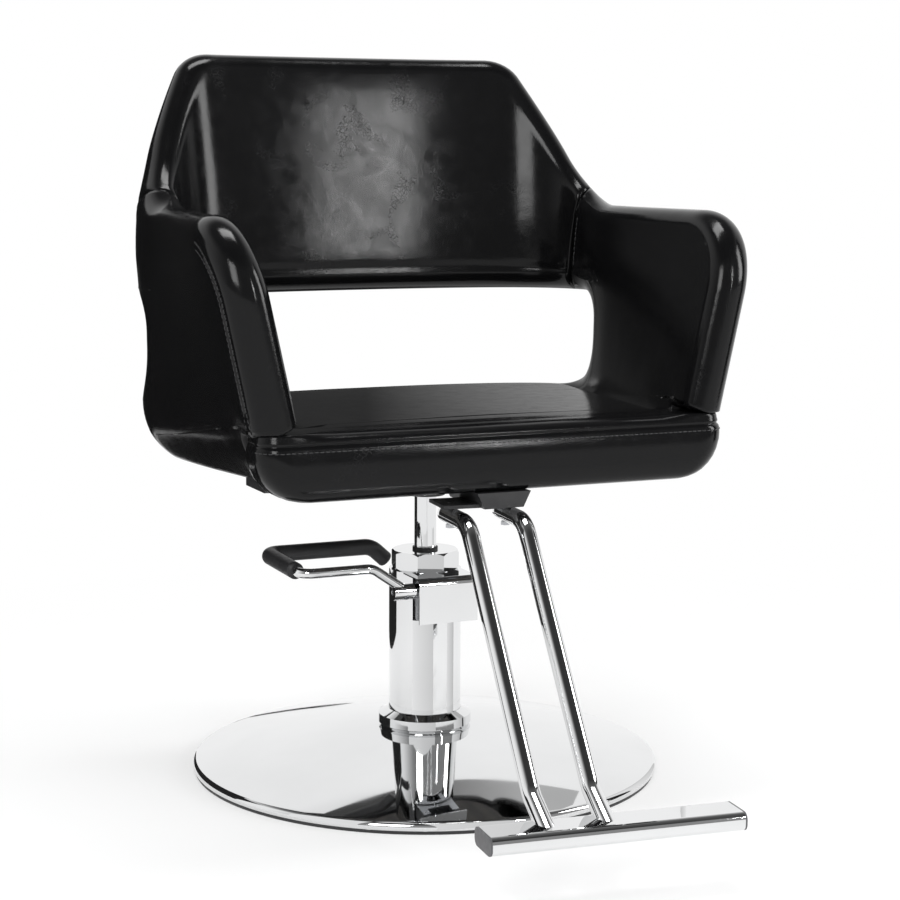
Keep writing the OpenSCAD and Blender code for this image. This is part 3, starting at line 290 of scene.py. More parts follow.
def pad(loop, sewn, seam_depth, nu, nv, grooves, seed):
    """Padded panel on the tub wall, with rounded free edges, sewn edges and stitched grooves.
    Sewn is one for each loop point in a seam, and fades to nothing where a seam ends softly.
    A groove is a face sign, the weight of each loop point and the inset."""
    m = len(loop)
    inward = loop_inward(loop)
    edge = {}
    for i in np.flatnonzero(sewn == 1):
        if sewn[i - 1] == 0:
            edge[i] = 1
        elif sewn[(i + 1) % m] == 0:
            edge[i] = -1
    free_step = inward * (1 - sewn)[:, None]
    seam_step = inward * sewn[:, None]
    for i, side in edge.items():
        along = unit(loop[(i + side) % m] - loop[i])
        beside = unit(loop[(i - side) % m] - loop[i])
        inner = unit(along - beside * (along @ beside))
        free_step[i] = along / (along @ inner)
        seam_step[i] = side * np.array([-along[1], along[0]])
    share = np.arange(RINGS + 1) / RINGS
    rings, ring_half = [], []
    for t in share:
        a = np.pi / 2 * t
        round_half = HALF_T * np.sin(a)
        groove = 1 - seam_depth / HALF_T * (1 - t) ** 2
        free_in = free_step * RIM_W * (1 - np.cos(a))
        seam_in = seam_step * (SEAM_GAP + (SEAM_WIDTH - SEAM_GAP) * t)
        rings.append(loop + free_in + seam_in)
        half = sewn * HALF_T * groove + (1 - sewn) * max(RIM_LAND, round_half)
        for i in edge:
            half[i] = max(RIM_LAND, round_half * groove[i])
        ring_half.append(half)
    grid = patch(rings[-1], nu, nv).reshape(-1, 2)
    deep = np.clip(nearest(grid, rings[-1]) / CROWN_WIDTH, 0, 1)
    grid_half = HALF_T + PAD_CROWN * deep * (2 - deep)
    flat = np.concatenate(rings[:-1] + [grid])
    thick = np.concatenate(ring_half[:-1] + [grid_half])
    count = len(flat)
    from_edge = np.concatenate([np.full(m, RIM_W * (1 - np.cos(np.pi / 2 * t))) for t in share[:-1]]
                               + [RIM_W + nearest(grid, rings[-1])])
    sheets = []
    for sign in (1, -1):
        n = thick.copy()
        for face, weight, inset in grooves:
            if face == sign:
                close = np.argmin(np.linalg.norm(flat[:, None] - loop[None], axis=2), axis=1)
                n -= weight[close] * GROOVE_DEPTH * np.exp(-((from_edge - inset) / GROOVE_WIDTH) ** 2)
        rest = shell_points(flat[:, 0], flat[:, 1], sign * n)
        soft = np.clip(from_edge / RIM_W, 0, 1)
        swell = SWELL * lumps(rest, SWELL_SCALE, seed)
        crease = CREASE * lumps(rest, CREASE_SCALE, seed + sign)
        n += soft * (swell + crease)
        sheets.append(shell_points(flat[:, 0], flat[:, 1], sign * n))
    points = np.concatenate(sheets)
    faces = []
    ring_in_grid = grid_ring(nu, nv)
    for start in (0, count):
        ids = [[start + k * m + i for i in range(m)] for k in range(RINGS)]
        ids.append([start + RINGS * m + g for g in ring_in_grid])
        for first, second in zip(ids[:-1], ids[1:]):
            faces += ring_faces(first, second)
        faces += grid_faces(start + RINGS * m, nu, nv)
    faces += ring_faces(list(range(m)), list(range(count, count + m)))
    return points, faces


# Upholstery depths in millimetres
GROOVE_DEPTH, GROOVE_WIDTH, GROOVE_INSET = 2.2, 2.6, 26
SWELL, SWELL_SCALE, CREASE, CREASE_SCALE = 0.28, 9, 0.06, 34
STITCH_LENGTH, STITCH_STEP, STITCH_R, STITCH_SIDE = 4.6, 6.4, 0.65, 4.2
STITCH_POINTS, STITCH_SIDES, STITCH_ARCH, STITCH_SINK = 6, 6, 0.9, 0.35
STITCH_PATH_STEPS, SEAM_PATH_POINTS, SEAM_STITCH_SIDE, SEAM_STITCH_LIFT = 300, 60, 7.5, 0.2
# A direction in which no tube starts
OFF_AXIS = (0.31, 0.22, 0.93)


def tube_mesh(path_mm, radius, sides):
    """Points and faces of a round tube along a path, without twist."""
    path = np.asarray(path_mm, float)
    along = unit(np.gradient(path, axis=0))
    side = unit(np.cross(along[0], OFF_AXIS))
    turn = radians(np.arange(sides) * 360 / sides)
    points, faces = [], []
    for p, t in zip(path, along):
        side = unit(side - t * (side @ t))
        up = np.cross(t, side)
        points.append(p + radius * (np.outer(np.cos(turn), side) + np.outer(np.sin(turn), up)))
    for j in range(len(path) - 1):
        ring = [j * sides + k for k in range(sides)]
        faces += ring_faces(ring, [k + sides for k in ring])
    faces += [tuple(range(sides)), tuple(range((len(path) - 1) * sides, len(path) * sides))]
    return np.concatenate(points), faces


def stitch_row(name, path_mm, normals):
    """A row of short thread loops along a path that lies on a face with these normals."""
    run = run_of(path_mm)
    starts = np.arange(STITCH_STEP, run[-1] - STITCH_STEP, STITCH_STEP)
    points, faces = [], []
    for start in starts:
        at = start + np.linspace(0, STITCH_LENGTH, STITCH_POINTS)
        line = at_runs(path_mm, at)
        up = np.column_stack([np.interp(at, run, normals[:, k]) for k in range(3)])
        lift = STITCH_R * (STITCH_ARCH * np.sin(np.linspace(0, np.pi, STITCH_POINTS)) - STITCH_SINK)
        body, body_faces = tube_mesh(line + up * lift[:, None], STITCH_R, STITCH_SIDES)
        offset = sum(len(p) for p in points)
        points.append(body)
        faces += [tuple(offset + k for k in f) for f in body_faces]
    return make_object(name, np.concatenate(points), faces)


# Upholstered tub: two arms and a back, sewn along two curved seams
arm_loop = side_loop(arm_under, arm_face, arm_over, arm_rear)
back_loop = side_loop(back_under, seam_points, back_over, seam_points * MIRROR)
SEW_FADE, FRONT_PAST, ARM_GROOVE_FADE, BACK_GROOVE_FADE = 8, 12, 4, 8
toe_start, toe_end = ARM_U - SEW_FADE, ARM_U + TAIL_N
front_end = ARM_U + ARM_V + FRONT_PAST
arm_sewn = np.zeros(len(arm_loop))
back_sewn = np.zeros(len(back_loop))
arm_sewn[toe_start:toe_end + 1] = smooth(np.arange(toe_end + 1 - toe_start) / (2 * SEW_FADE))
arm_sewn[2 * ARM_U + ARM_V:2 * ARM_U + ARM_V + SEAM_N + 1] = 1
arm_depth = np.full(len(arm_loop), float(SEAM_DEPTH))
back_depth = np.full(len(back_loop), float(SEAM_DEPTH))
arm_depth[:toe_end + 1] = TOE_SEAM_DEPTH
back_sewn[BACK_U:BACK_U + SEAM_N + 1] = 1
back_sewn[[(2 * BACK_U + SEAM_N + j) % len(back_loop) for j in range(SEAM_N + 1)]] = 1


def loop_weight(loop, start, end, fade):
    """One along the loop points from start to end, falling to nothing over fade points inside them."""
    i = np.arange(len(loop))
    return smooth((i - start) / fade) * smooth((end - i) / fade)


arm_front_groove = (1, loop_weight(arm_loop, toe_end - 1, front_end + 3, ARM_GROOVE_FADE), GROOVE_INSET)
back_weight = loop_weight(back_loop, -BACK_GROOVE_FADE, BACK_U + BACK_GROOVE_FADE, BACK_GROOVE_FADE)
back_low_groove = (-1, back_weight, GROOVE_INSET)
arm_points, arm_faces = pad(arm_loop, arm_sewn, arm_depth, ARM_U, ARM_V, [arm_front_groove], 1)
back_points, back_faces = pad(back_loop, back_sewn, back_depth, BACK_U, SEAM_N, [back_low_groove], 2)
FLIP_X = np.array([-1, 1, 1])
arm_cover_left = make_object("arm_cover_left", arm_points, arm_faces)
arm_cover_right = make_object("arm_cover_right", arm_points * FLIP_X, arm_faces)
back_cover = make_object("back_cover", back_points, back_faces)


def on_shell(line, n):
    """Path and outward normals on a face of the tub, from [s, q] points and the offset n."""
    s, q = line[:, 0], line[:, 1]
    path = shell_points(s, q, np.full(len(s), float(n)))
    step = shell_points(s, q, np.full(len(s), float(n) + math.copysign(1, n)))
    return path, step - path


def inset_line(loop, start, end, inset):
    inward = loop_inward(loop)
    return (loop + inward * inset)[start:end]


stitch_rows = []
for row, inset in (("low", GROOVE_INSET - STITCH_SIDE), ("high", GROOVE_INSET + STITCH_SIDE)):
    depth = HALF_T * math.sin(math.acos(max(0.0, 1 - inset / RIM_W)))
    line = resample(inset_line(arm_loop, toe_end + 1, front_end, inset), STITCH_PATH_STEPS)
    path, up = on_shell(line, depth)
    for side, flip in (("left", np.ones(3)), ("right", FLIP_X)):
        stitch_rows.append(stitch_row(f"arm_stitch_{row}_{side}", path * flip, up * flip))
for face, sign in (("out", 1), ("in", -1)):
    runs = np.linspace(SEAM_LOW_END, seam_run - SEAM_HIGH_END, SEAM_PATH_POINTS)
    line = at_runs(seam_line, runs) + [SEAM_STITCH_SIDE, 0]
    path, up = on_shell(line, sign * (HALF_T + SEAM_STITCH_LIFT))
    for side, flip in (("left", np.ones(3)), ("right", FLIP_X)):
        stitch_rows.append(stitch_row(f"seam_stitch_{face}_{side}", path * flip, up * flip))

# Seat cushion: boxed front under the arm fronts, seam channel under the top panel, sides along the arms
cushion_off = HALF_T + CUSHION_GAP
CUSHION_U, CUSHION_V, LOBE_N = 96, 76, 10
TAIL_FADE, FLANK_SHORT = 40, 30
lobe_y = ARM_FRONT - TOE_STEP + LOBE_STEP
flank_end = TAIL_S - FLANK_SHORT


def arm_inset(z, s):
    """Inset of the arm's inner face from the plan line, at height z beside run length s."""
    flare = flare_at(s)
    roll_z = UNDER_Z + UNDER_R * np.sin(flare)
    last = np.sin(np.minimum(np.pi / 2, flare + radians(UNDER_TURN)))
    turn = np.arcsin(np.clip((roll_z - z) / (UNDER_R - PAD_DEEP), np.sin(flare), last))
    return UNDER_R * np.cos(flare) - (UNDER_R - PAD_DEEP) * np.cos(turn)


def flank_points(s, inset, z):
    share = smooth((s - TAIL_S + TAIL_FADE) / TAIL_FADE)
    free = cushion_off + inset
    off = free + (np.maximum(free, arm_inset(z, s) + CUSHION_GAP) - free) * share
    point, normal = plan(s)
    return point - normal * off[:, None]


def cushion_half(inset, z):
    """Half outline of the cushion at height z: front, flank and rear, each with a set number of points."""
    r = max(LOBE_R - inset, LOBE_MIN_R)
    back = max(-lobe_y, -SEAT_FRONT + inset + r + LOBE_MIN_FLAT)
    deep = (SEAT_TOP - z) / (SEAT_TOP - SEAT_BOTTOM + LOBE_STEP)
    lobe_half = FRONT_HALF + LOBE_OUT - LOBE_TUCK * (1 - math.sqrt(1 - min(deep, LOBE_DEEPEST) ** 2))
    centre = (lobe_half - inset - r, -SEAT_FRONT + inset + r)
    front_line = np.concatenate([[[0, -SEAT_FRONT + inset]], arc(*centre, r, 270, 315, 12)])
    half_front = resample(front_line, CUSHION_U // 2)
    start = corner_len + (CORNER_Y - back - LOBE_STEP) * arm_len / (CORNER_Y + ARM_FRONT)
    side = lobe_half - inset
    lobe_end = [[side, back - LOBE_TRIM], [side, back - LOBE_EDGE],
                [side - LOBE_EDGE, back], [side - LOBE_TRIM, back]]
    flank = np.concatenate([
        arc(*centre, r, 315, 360, LOBE_N), lobe_end,
        flank_points(np.linspace(start, flank_end, CUSHION_V - LOBE_N - len(lobe_end)), inset, z)])
    half_rear = flank_points(np.linspace(0, flank_end, CUSHION_U // 2 + 1), inset, z)
    return half_front, flank, half_rear


def cushion_row(inset, z):
    """Outline of the cushion at height z, drawn in by the inset, but less so under the arm fronts."""
    halves = cushion_half(inset, z)
    if z > SEAT_BOTTOM + TOP_ROLL:
        slack = max(inset - LOBE_TOP_INSET, 0)
        under_arm = cushion_half(inset - slack * (1 - LOBE_TOP_SHARE), z)
        share = [smooth((half[:, :1] - LOBE_FROM) / LOBE_FADE) for half in under_arm]
        share[1] = share[1] * (under_arm[1][:, 1:] < -lobe_y + LOBE_STEP / 2)
        halves = [half + (other - half) * s for half, other, s in zip(halves, under_arm, share)]
    half_front, flank, half_rear = halves
    return side_loop(join(half_front[::-1] * MIRROR, half_front), flank,
                     join(half_rear[::-1] * MIRROR, half_rear), flank * MIRROR)


# Rows of the cushion wall, from the underside up: inset and height above the underside
CUSHION_ROWS = [
    (24, 0), (20, 0), (13, 0.9), (8, 3), (4, 6.6), (1.5, 11), (-0.6, 18), (-2, 26), (-2.5, 35),
    (-2.2, 46), (-1.2, 53), (-0.5, 57), (0.4, 60), (1.4, 62), (3, 63.4), (4, 64.4), (3.7, 65.4),
    (2.9, 66.6), (3.2, 68.2), (4.6, 70.4), (7, 72.4), (11, 74.4), (17, 76), (25, 76.8), (34, 77)]
TOP_ROLL, SOFT_FROM, SOFT_FADE = 64, 12, 20
LOBE_TOP_INSET, LOBE_TOP_SHARE = 4, 0.15
LOBE_FROM, LOBE_FADE, LOBE_EDGE, LOBE_TRIM = 200, 50, 1, 5
BOARD_CORNER, BOARD_TOP = 60, 17
board = frame["nodes"]["seat_board"]
board_box = np.array([board.matrix_world @ Vector(corner_at) for corner_at in board.bound_box]) / MM
board_low, board_high = board_box.min(axis=0)[:2], board_box.max(axis=0)[:2]


def board_loop(loop):
    """The cushion loop drawn in to the edge of the seat board."""
    centre, half_size = (board_low + board_high) / 2, (board_high - board_low) / 2
    low, high = np.zeros(len(loop)), np.ones(len(loop))
    for _ in range(40):
        mid = (low + high) / 2
        p = np.abs((loop - centre) * mid[:, None]) - (half_size - BOARD_CORNER)
        inside = np.linalg.norm(np.maximum(p, 0), axis=1) < BOARD_CORNER
        low, high = np.where(inside, mid, low), np.where(inside, high, mid)
    return centre + (loop - centre) * high[:, None]


def cushion():
    foot = cushion_row(CUSHION_ROWS[0][0], SEAT_BOTTOM)
    m = len(foot)
    rows = [(board_loop(foot), SEAT_BOTTOM + BOARD_TOP), (board_loop(foot), SEAT_BOTTOM)]
    rows += [(cushion_row(inset, SEAT_BOTTOM + z), SEAT_BOTTOM + z) for inset, z in CUSHION_ROWS]
    grid = patch(rows[-1][0], CUSHION_U, CUSHION_V).reshape(-1, 2)
    u = np.tile(np.linspace(0, np.pi, CUSHION_U + 1), CUSHION_V + 1)
    v = np.repeat(np.linspace(0, np.pi, CUSHION_V + 1), CUSHION_U + 1)
    grid_z = SEAT_TOP + CUSHION_CROWN * np.sin(u) * np.sin(v)
    points = np.concatenate([np.column_stack([loop, np.full(m, z)]) for loop, z in rows[:-1]]
                            + [np.column_stack([grid, grid_z])])
    row_soft = [smooth((z - SEAT_BOTTOM - SOFT_FROM) / SOFT_FADE) for _, z in rows[:-1]]
    soft = np.concatenate([np.full(m, s) for s in row_soft] + [np.ones(len(grid))])
    out = []
    for loop, z in rows[:-1]:
        tip = np.pi / 2 * smooth((z - SEAT_BOTTOM - TOP_ROLL) / (SEAT_TOP - SEAT_BOTTOM - TOP_ROLL))
        out.append(np.column_stack([-loop_inward(loop) * np.cos(tip), np.full(m, np.sin(tip))]))
    out = np.concatenate(out + [np.tile([0, 0, 1], (len(grid), 1))])
    swell = SWELL * lumps(points, SWELL_SCALE, 5) + CREASE * lumps(points, CREASE_SCALE, 6)
    points = points + out * (soft * swell)[:, None]
    ids = [[k * m + i for i in range(m)] for k in range(len(rows) - 1)]
    start = (len(rows) - 1) * m
    ids.append([start + g for g in grid_ring(CUSHION_U, CUSHION_V)])
    faces = [tuple(ids[0])] + grid_faces(start, CUSHION_U, CUSHION_V)
    for first, second in zip(ids[:-1], ids[1:]):
        faces += ring_faces(first, second)
    return make_object("seat_cover", points, faces)


seat_cover = cushion()
BOX_STITCH_INSET, BOX_STITCH_Z = -0.2, 57.5
box_loop = cushion_row(BOX_STITCH_INSET, SEAT_BOTTOM + BOX_STITCH_Z)
front_ids = [i % len(box_loop) for i in range(-LOBE_N, CUSHION_U + LOBE_N)]
box_path = np.column_stack([box_loop, np.full(len(box_loop), SEAT_BOTTOM + BOX_STITCH_Z)])[front_ids]
box_up = np.column_stack([-loop_inward(box_loop), np.zeros(len(box_loop))])[front_ids]
stitch_rows.append(stitch_row("seat_stitch_front", box_path, box_up))

# Bent rods and tubes along the same paths as the solids, with the foot tubes run on into the bar
SWEEP_SIDES, SWEEP_STEP, SWEEP_RUN, SWEEP_MERGE = 40, 3, 6, 0.05
ROUND_SHARES = np.linspace(0.15, 0.95, 6)
PEDAL_ROD_R, PEDAL_SLEEVE_R, FOOT_TUBE_R = 6, 10, 10


def bent_path(steps, start, x, z, first=0):
    """Centre line of a bar: each step is length, bend radius, turn and roll before the bend."""
    pos, x, z = np.array(start, float), np.array(x, float), np.array(z, float)
    path = []
    for i, (length, radius, turn, roll) in enumerate(steps):
        y = np.cross(z, x)
        far = pos + z * length
        side = x * math.cos(math.radians(roll)) + y * math.sin(math.radians(roll))
        count = math.ceil(turn / SWEEP_STEP)
        if i >= first:
            shares = np.linspace(0, 1, max(2, math.ceil(length / SWEEP_RUN)))
            path += [pos + (far - pos) * t for t in shares]
        for k in range(1, count + 1):
            a = math.radians(turn * k / count)
            if i >= first:
                path.append(far + side * radius * (1 - math.cos(a)) + z * radius * math.sin(a))
        a = math.radians(turn)
        pos = far + side * radius * (1 - math.cos(a)) + z * radius * math.sin(a)
        x, z = side * math.cos(a) - z * math.sin(a), z * math.cos(a) + side * math.sin(a)
    kept = [path[0]]
    for p in path[1:]:
        if np.linalg.norm(p - kept[-1]) > SWEEP_MERGE:
            kept.append(p)
    return np.array(kept)


SHAFT_Y = -58
PEDAL_REACH, LOOP_SPAN, CORNER_R = 181, 125, 16
BEND_R, BEND_X, NEAR_Z = 24, -100, 262
SLOPE, SLOPE_LEN, LOOP_TILT = 35, 45, 0.65
DROP_X, DROP_TURN, DROP_LEN = 54, 42, 16
FOOT_START, FOOT_CAP = 6, 3
slope_sin, slope_cos = math.sin(math.radians(SLOPE)), math.cos(math.radians(SLOPE))


def pedal_steps(end_len):
    return [
        (SLOPE_LEN, BEND_R, SLOPE, 180), (PEDAL_REACH + BEND_X - CORNER_R, CORNER_R, 90, -90 - LOOP_TILT),
        (FOOT_START, 0, 0, 0), (LOOP_SPAN - 2 * CORNER_R - FOOT_START, CORNER_R, 90, 0),
        (PEDAL_REACH - CORNER_R - DROP_X, BEND_R, DROP_TURN, 90), (end_len, 0, 0, 0)]


pedal_start = [BEND_X + BEND_R * slope_sin + SLOPE_LEN * slope_cos, SHAFT_Y,
               NEAR_Z - BEND_R * (1 - slope_cos) - SLOPE_LEN * slope_sin]
pedal_x, pedal_z = [slope_sin, 0, slope_cos], [-slope_cos, 0, slope_sin]
SLEEVE_FROM = 3


def sweep(name, path, radius, end_round=0.0):
    """Round bar along a path, with its far end rounded off over end_round millimetres."""
    points, _ = tube_mesh(path, radius, SWEEP_SIDES)
    rings = [points[k * SWEEP_SIDES:(k + 1) * SWEEP_SIDES] for k in range(len(path))]
    along = unit(path[-1] - path[-2])
    if end_round:
        for t in ROUND_SHARES:
            a = np.pi / 2 * t
            shrink = 1 - end_round / radius * (1 - np.cos(a))
            last_ring = (rings[len(path) - 1] - path[-1]) * shrink
            rings.append(path[-1] + last_ring + along * end_round * np.sin(a))
    faces = []
    for k in range(len(rings) - 1):
        ring = [k * SWEEP_SIDES + i for i in range(SWEEP_SIDES)]
        faces += ring_faces(ring, [i + SWEEP_SIDES for i in ring])
    far_end = (len(rings) - 1) * SWEEP_SIDES
    faces += [tuple(range(SWEEP_SIDES)), tuple(range(far_end, far_end + SWEEP_SIDES))]
    return make_object(name, np.concatenate(rings), faces)


rod = sweep("rod", bent_path(pedal_steps(DROP_LEN), pedal_start, pedal_x, pedal_z), PEDAL_ROD_R)
grip = sweep("grip", bent_path(pedal_steps(DROP_LEN), pedal_start, pedal_x, pedal_z, SLEEVE_FROM),
             PEDAL_SLEEVE_R, FOOT_CAP)

TUBE_Z, TUBE_REAR, TUBE_BEND_Y, TUBE_BEND_R, TUBE_X = 345, -178, -238, 42, 33
TOE_TURN, TOE_R, TOE_LEN, TOE_SINK, TOE_INSET = 22, 40, 30, 24, 12
FIRST_DROP, DROP_TRIES = 52.0, 12
BAR_REACH, BAR_Z, BAR_DEPTH, BAR_HEIGHT, REST_TURN = 508, 70, 50, 20, -5.5
toe_aim = np.array([-BAR_REACH + BAR_DEPTH / 2 - TOE_INSET, BAR_Z + BAR_HEIGHT / 2])


def leg_rest(drop):
    d, e = math.radians(drop), math.radians(drop - TOE_TURN)
    return np.array([
        TUBE_BEND_Y - toe_aim[0] - TUBE_BEND_R * math.sin(d) - TOE_R * (math.sin(d) - math.sin(e))
        - TOE_LEN * math.cos(e),
        TUBE_Z - toe_aim[1] - TUBE_BEND_R * (1 - math.cos(d)) - TOE_R * (math.cos(e) - math.cos(d))
        - TOE_LEN * math.sin(e)])


tube_drop = FIRST_DROP
for _ in range(DROP_TRIES):
    leg = leg_rest(tube_drop)
    tube_drop = math.degrees(math.atan2(leg[1], leg[0]))
tube_steps = [(TUBE_REAR - TUBE_BEND_Y, TUBE_BEND_R, tube_drop, -90),
              (np.linalg.norm(leg_rest(tube_drop)), TOE_R, TOE_TURN, 180), (TOE_LEN + TOE_SINK, 0, 0, 0)]
rest_turn = np.array(Matrix.Rotation(math.radians(REST_TURN), 3, "Z"))
foot_tubes = []
for side, x in (("left", TUBE_X), ("right", -TUBE_X)):
    tube_path = bent_path(tube_steps, [x, TUBE_REAR, TUBE_Z], [1, 0, 0], [0, -1, 0]) @ rest_turn.T
    foot_tubes.append(sweep(f"foot_tube_{side}", tube_path, FOOT_TUBE_R))


def lathe(name, profile, segments):
    """Solid of revolution from a closed profile of [radius, height] points."""
    profile = np.asarray(profile, float)
    turn = radians(np.arange(segments) * 360 / segments)
    points, faces = [], []
    for r, z in profile:
        points.append(np.column_stack([r * np.cos(turn), r * np.sin(turn), np.full(segments, z)]))
    count = len(profile)
    for k in range(count):
        first, second = k * segments, (k + 1) % count * segments
        faces += ring_faces([first + i for i in range(segments)], [second + i for i in range(segments)])
    return make_object(name, np.concatenate(points), faces)


BASE_R, BASE_RISE, BASE_SHEET, FLOOR_RING_H = 285, 51, 3, 4
RIM_R, TRIM_R, DOME_HOLE, DOME_BOW = 6, 57, 36, 0.33
DOME_STEPS, DOME_SEGMENTS = 60, 240
RIM_START, RIM_END = 77, -45
rim_z = FLOOR_RING_H - RIM_R * math.sin(math.radians(RIM_END))
dome_edge_r = BASE_R - RIM_R + RIM_R * math.cos(math.radians(RIM_START))
dome_edge_z = rim_z + RIM_R * math.sin(math.radians(RIM_START))
dome_r = np.linspace(dome_edge_r, TRIM_R, DOME_STEPS)
dome_t = (dome_r - TRIM_R) / (dome_edge_r - TRIM_R)
dome_line = np.column_stack([
    dome_r, BASE_RISE - (BASE_RISE - dome_edge_z) * ((1 - DOME_BOW) * dome_t + DOME_BOW * dome_t ** 2)])
dome = lathe("base_dome", np.concatenate([
    arc(BASE_R - RIM_R, rim_z, RIM_R, RIM_END, RIM_START, 24), dome_line[1:], [[DOME_HOLE, BASE_RISE]],
    [[DOME_HOLE, BASE_RISE - BASE_SHEET]], dome_line[:0:-1] - [0, BASE_SHEET],
    arc(BASE_R - RIM_R, rim_z, RIM_R - BASE_SHEET, RIM_START, RIM_END, 16)]), DOME_SEGMENTS)


# Materials
def new_material(name):
    material = bpy.data.materials.new(name)
    material.use_nodes = True
    nodes = material.node_tree.nodes
    return material, nodes, material.node_tree.links, nodes["Principled BSDF"]


def add(nodes, kind, **inputs):
    node = nodes.new(kind)
    for key, value in inputs.items():
        node.inputs[key.replace("_", " ")].default_value = value
    return node


def ramp(nodes, links, source, stops):
    node = nodes.new("ShaderNodeValToRGB")
    elements = node.color_ramp.elements
    while len(elements) < len(stops):
        elements.new(0.5)
    for element, (position, value) in zip(elements, stops):
        element.position = position
        element.color = (*value, 1) if isinstance(value, tuple) else (value, value, value, 1)
    links.new(source, node.inputs["Fac"])
    return node.outputs["Color"]


def math_node(nodes, operation):
    node = nodes.new("ShaderNodeMath")
    node.operation = operation
    return node


def bump(nodes, links, height, strength, distance, under=None):
    node = add(nodes, "ShaderNodeBump", Strength=strength, Distance=distance)
    links.new(height, node.inputs["Height"])
    if under is not None:
        links.new(under, node.inputs["Normal"])
    return node.outputs["Normal"]


def coords(nodes):
    return nodes.new("ShaderNodeTexCoord").outputs["Object"]


def noise_node(nodes, links, vector, scale, detail=3.0, distortion=0.0):
    node = add(nodes, "ShaderNodeTexNoise", Scale=scale, Detail=detail, Distortion=distortion)
    links.new(vector, node.inputs["Vector"])
    return node.outputs["Fac"]


# Leather: fine grain all over, and patches of thin cracks that are a little duller
GRAIN_SCALE, CRACK_SCALE, WARP_SCALE, WARP_SHIFT = 620.0, 240.0, 25.0, 0.02
CRACK_STOPS = [(0.0, 1.0), (0.12, 0.0)]
PATCH_STOPS = [(0.52, 0.0), (0.66, 1.0)]
LEATHER_TONES = [(0.0, (0.0042, 0.0042, 0.0045)), (1.0, (0.0065, 0.0065, 0.007))]
LEATHER_ROUGH = [(0.38, 0.11), (0.62, 0.165)]
WEAR_ROUGH, LEATHER_SHINE = 0.1, 0.2


def leather_material():
    material, nodes, links, shader = new_material("glossy_leather")
    where = coords(nodes)
    grain = add(nodes, "ShaderNodeTexVoronoi", Scale=GRAIN_SCALE)
    links.new(where, grain.inputs["Vector"])
    warp = add(nodes, "ShaderNodeTexNoise", Scale=WARP_SCALE, Detail=4.0)
    links.new(where, warp.inputs["Vector"])
    shifted = nodes.new("ShaderNodeVectorMath")
    shifted.operation = "MULTIPLY_ADD"
    links.new(warp.outputs["Color"], shifted.inputs[0])
    shifted.inputs[1].default_value = (WARP_SHIFT, WARP_SHIFT, WARP_SHIFT)
    links.new(where, shifted.inputs[2])
    cells = add(nodes, "ShaderNodeTexVoronoi", Scale=CRACK_SCALE)
    cells.feature = "DISTANCE_TO_EDGE"
    links.new(shifted.outputs["Vector"], cells.inputs["Vector"])
    cracks = ramp(nodes, links, cells.outputs["Distance"], CRACK_STOPS)
    patches = ramp(nodes, links, noise_node(nodes, links, where, 14.0, 8.0, 1.0), PATCH_STOPS)
    wear = math_node(nodes, "MULTIPLY")
    links.new(cracks, wear.inputs[0])
    links.new(patches, wear.inputs[1])
    links.new(ramp(nodes, links, wear.outputs[0], LEATHER_TONES), shader.inputs["Base Color"])
    sheen = ramp(nodes, links, noise_node(nodes, links, where, 60.0, 9.0, 0.5), LEATHER_ROUGH)
    rough = math_node(nodes, "MULTIPLY_ADD")
    links.new(wear.outputs[0], rough.inputs[0])
    rough.inputs[1].default_value = WEAR_ROUGH
    links.new(sheen, rough.inputs[2])
    links.new(rough.outputs[0], shader.inputs["Roughness"])
    shader.inputs["Specular IOR Level"].default_value = LEATHER_SHINE
    normal = bump(nodes, links, noise_node(nodes, links, where, 55.0, 5.0), 0.12, 0.0012)
    normal = bump(nodes, links, grain.outputs["Distance"], 0.1, 0.0003, normal)
    links.new(normal, shader.inputs["Normal"])
    return material


def metal_material(name, color, rough_low, rough_high, scale, metallic=1.0, grain=0.0):
    material, nodes, links, shader = new_material(name)
    where = coords(nodes)
    smear = noise_node(nodes, links, where, scale, 5.0)
    links.new(ramp(nodes, links, smear, [(0.35, rough_low), (0.7, rough_high)]), shader.inputs["Roughness"])
    tone = noise_node(nodes, links, where, scale * 0.4, 3.0)
    dark = tuple(c * 0.93 for c in color)
    links.new(ramp(nodes, links, tone, [(0.3, dark), (0.7, color)]), shader.inputs["Base Color"])
    shader.inputs["Metallic"].default_value = metallic
    if grain:
        fine = noise_node(nodes, links, where, 900.0, 2.0)
        links.new(bump(nodes, links, fine, grain, 0.0003), shader.inputs["Normal"])
    return material


MATTE_SPREAD = 0.06


def matte_material(name, color, rough, scale, depth):
    material, nodes, links, shader = new_material(name)
    where = coords(nodes)
    tone = noise_node(nodes, links, where, scale * 0.1, 4.0)
    light = tuple(c * 1.35 for c in color)
    links.new(ramp(nodes, links, tone, [(0.35, color), (0.7, light)]), shader.inputs["Base Color"])
    smear = noise_node(nodes, links, where, scale * 0.3, 3.0)
    rough_stops = [(0.3, rough - MATTE_SPREAD), (0.7, rough + MATTE_SPREAD)]
    links.new(ramp(nodes, links, smear, rough_stops), shader.inputs["Roughness"])
    fine = noise_node(nodes, links, where, scale, 3.0)
    links.new(bump(nodes, links, fine, depth, 0.0004), shader.inputs["Normal"])
    return material


def plywood_material():
    material, nodes, links, shader = new_material("stained_plywood")
    where = coords(nodes)
    wave = add(nodes, "ShaderNodeTexWave", Scale=9.0, Distortion=7.0, Detail=3.0)
    wave.bands_direction = "X"
    links.new(where, wave.inputs["Vector"])
    stain = [(0.1, (0.02, 0.018, 0.016)), (0.8, (0.035, 0.031, 0.027))]
    links.new(ramp(nodes, links, wave.outputs["Fac"], stain), shader.inputs["Base Color"])
    shader.inputs["Roughness"].default_value = 0.62
    links.new(bump(nodes, links, wave.outputs["Fac"], 0.1, 0.0004), shader.inputs["Normal"])
    return material


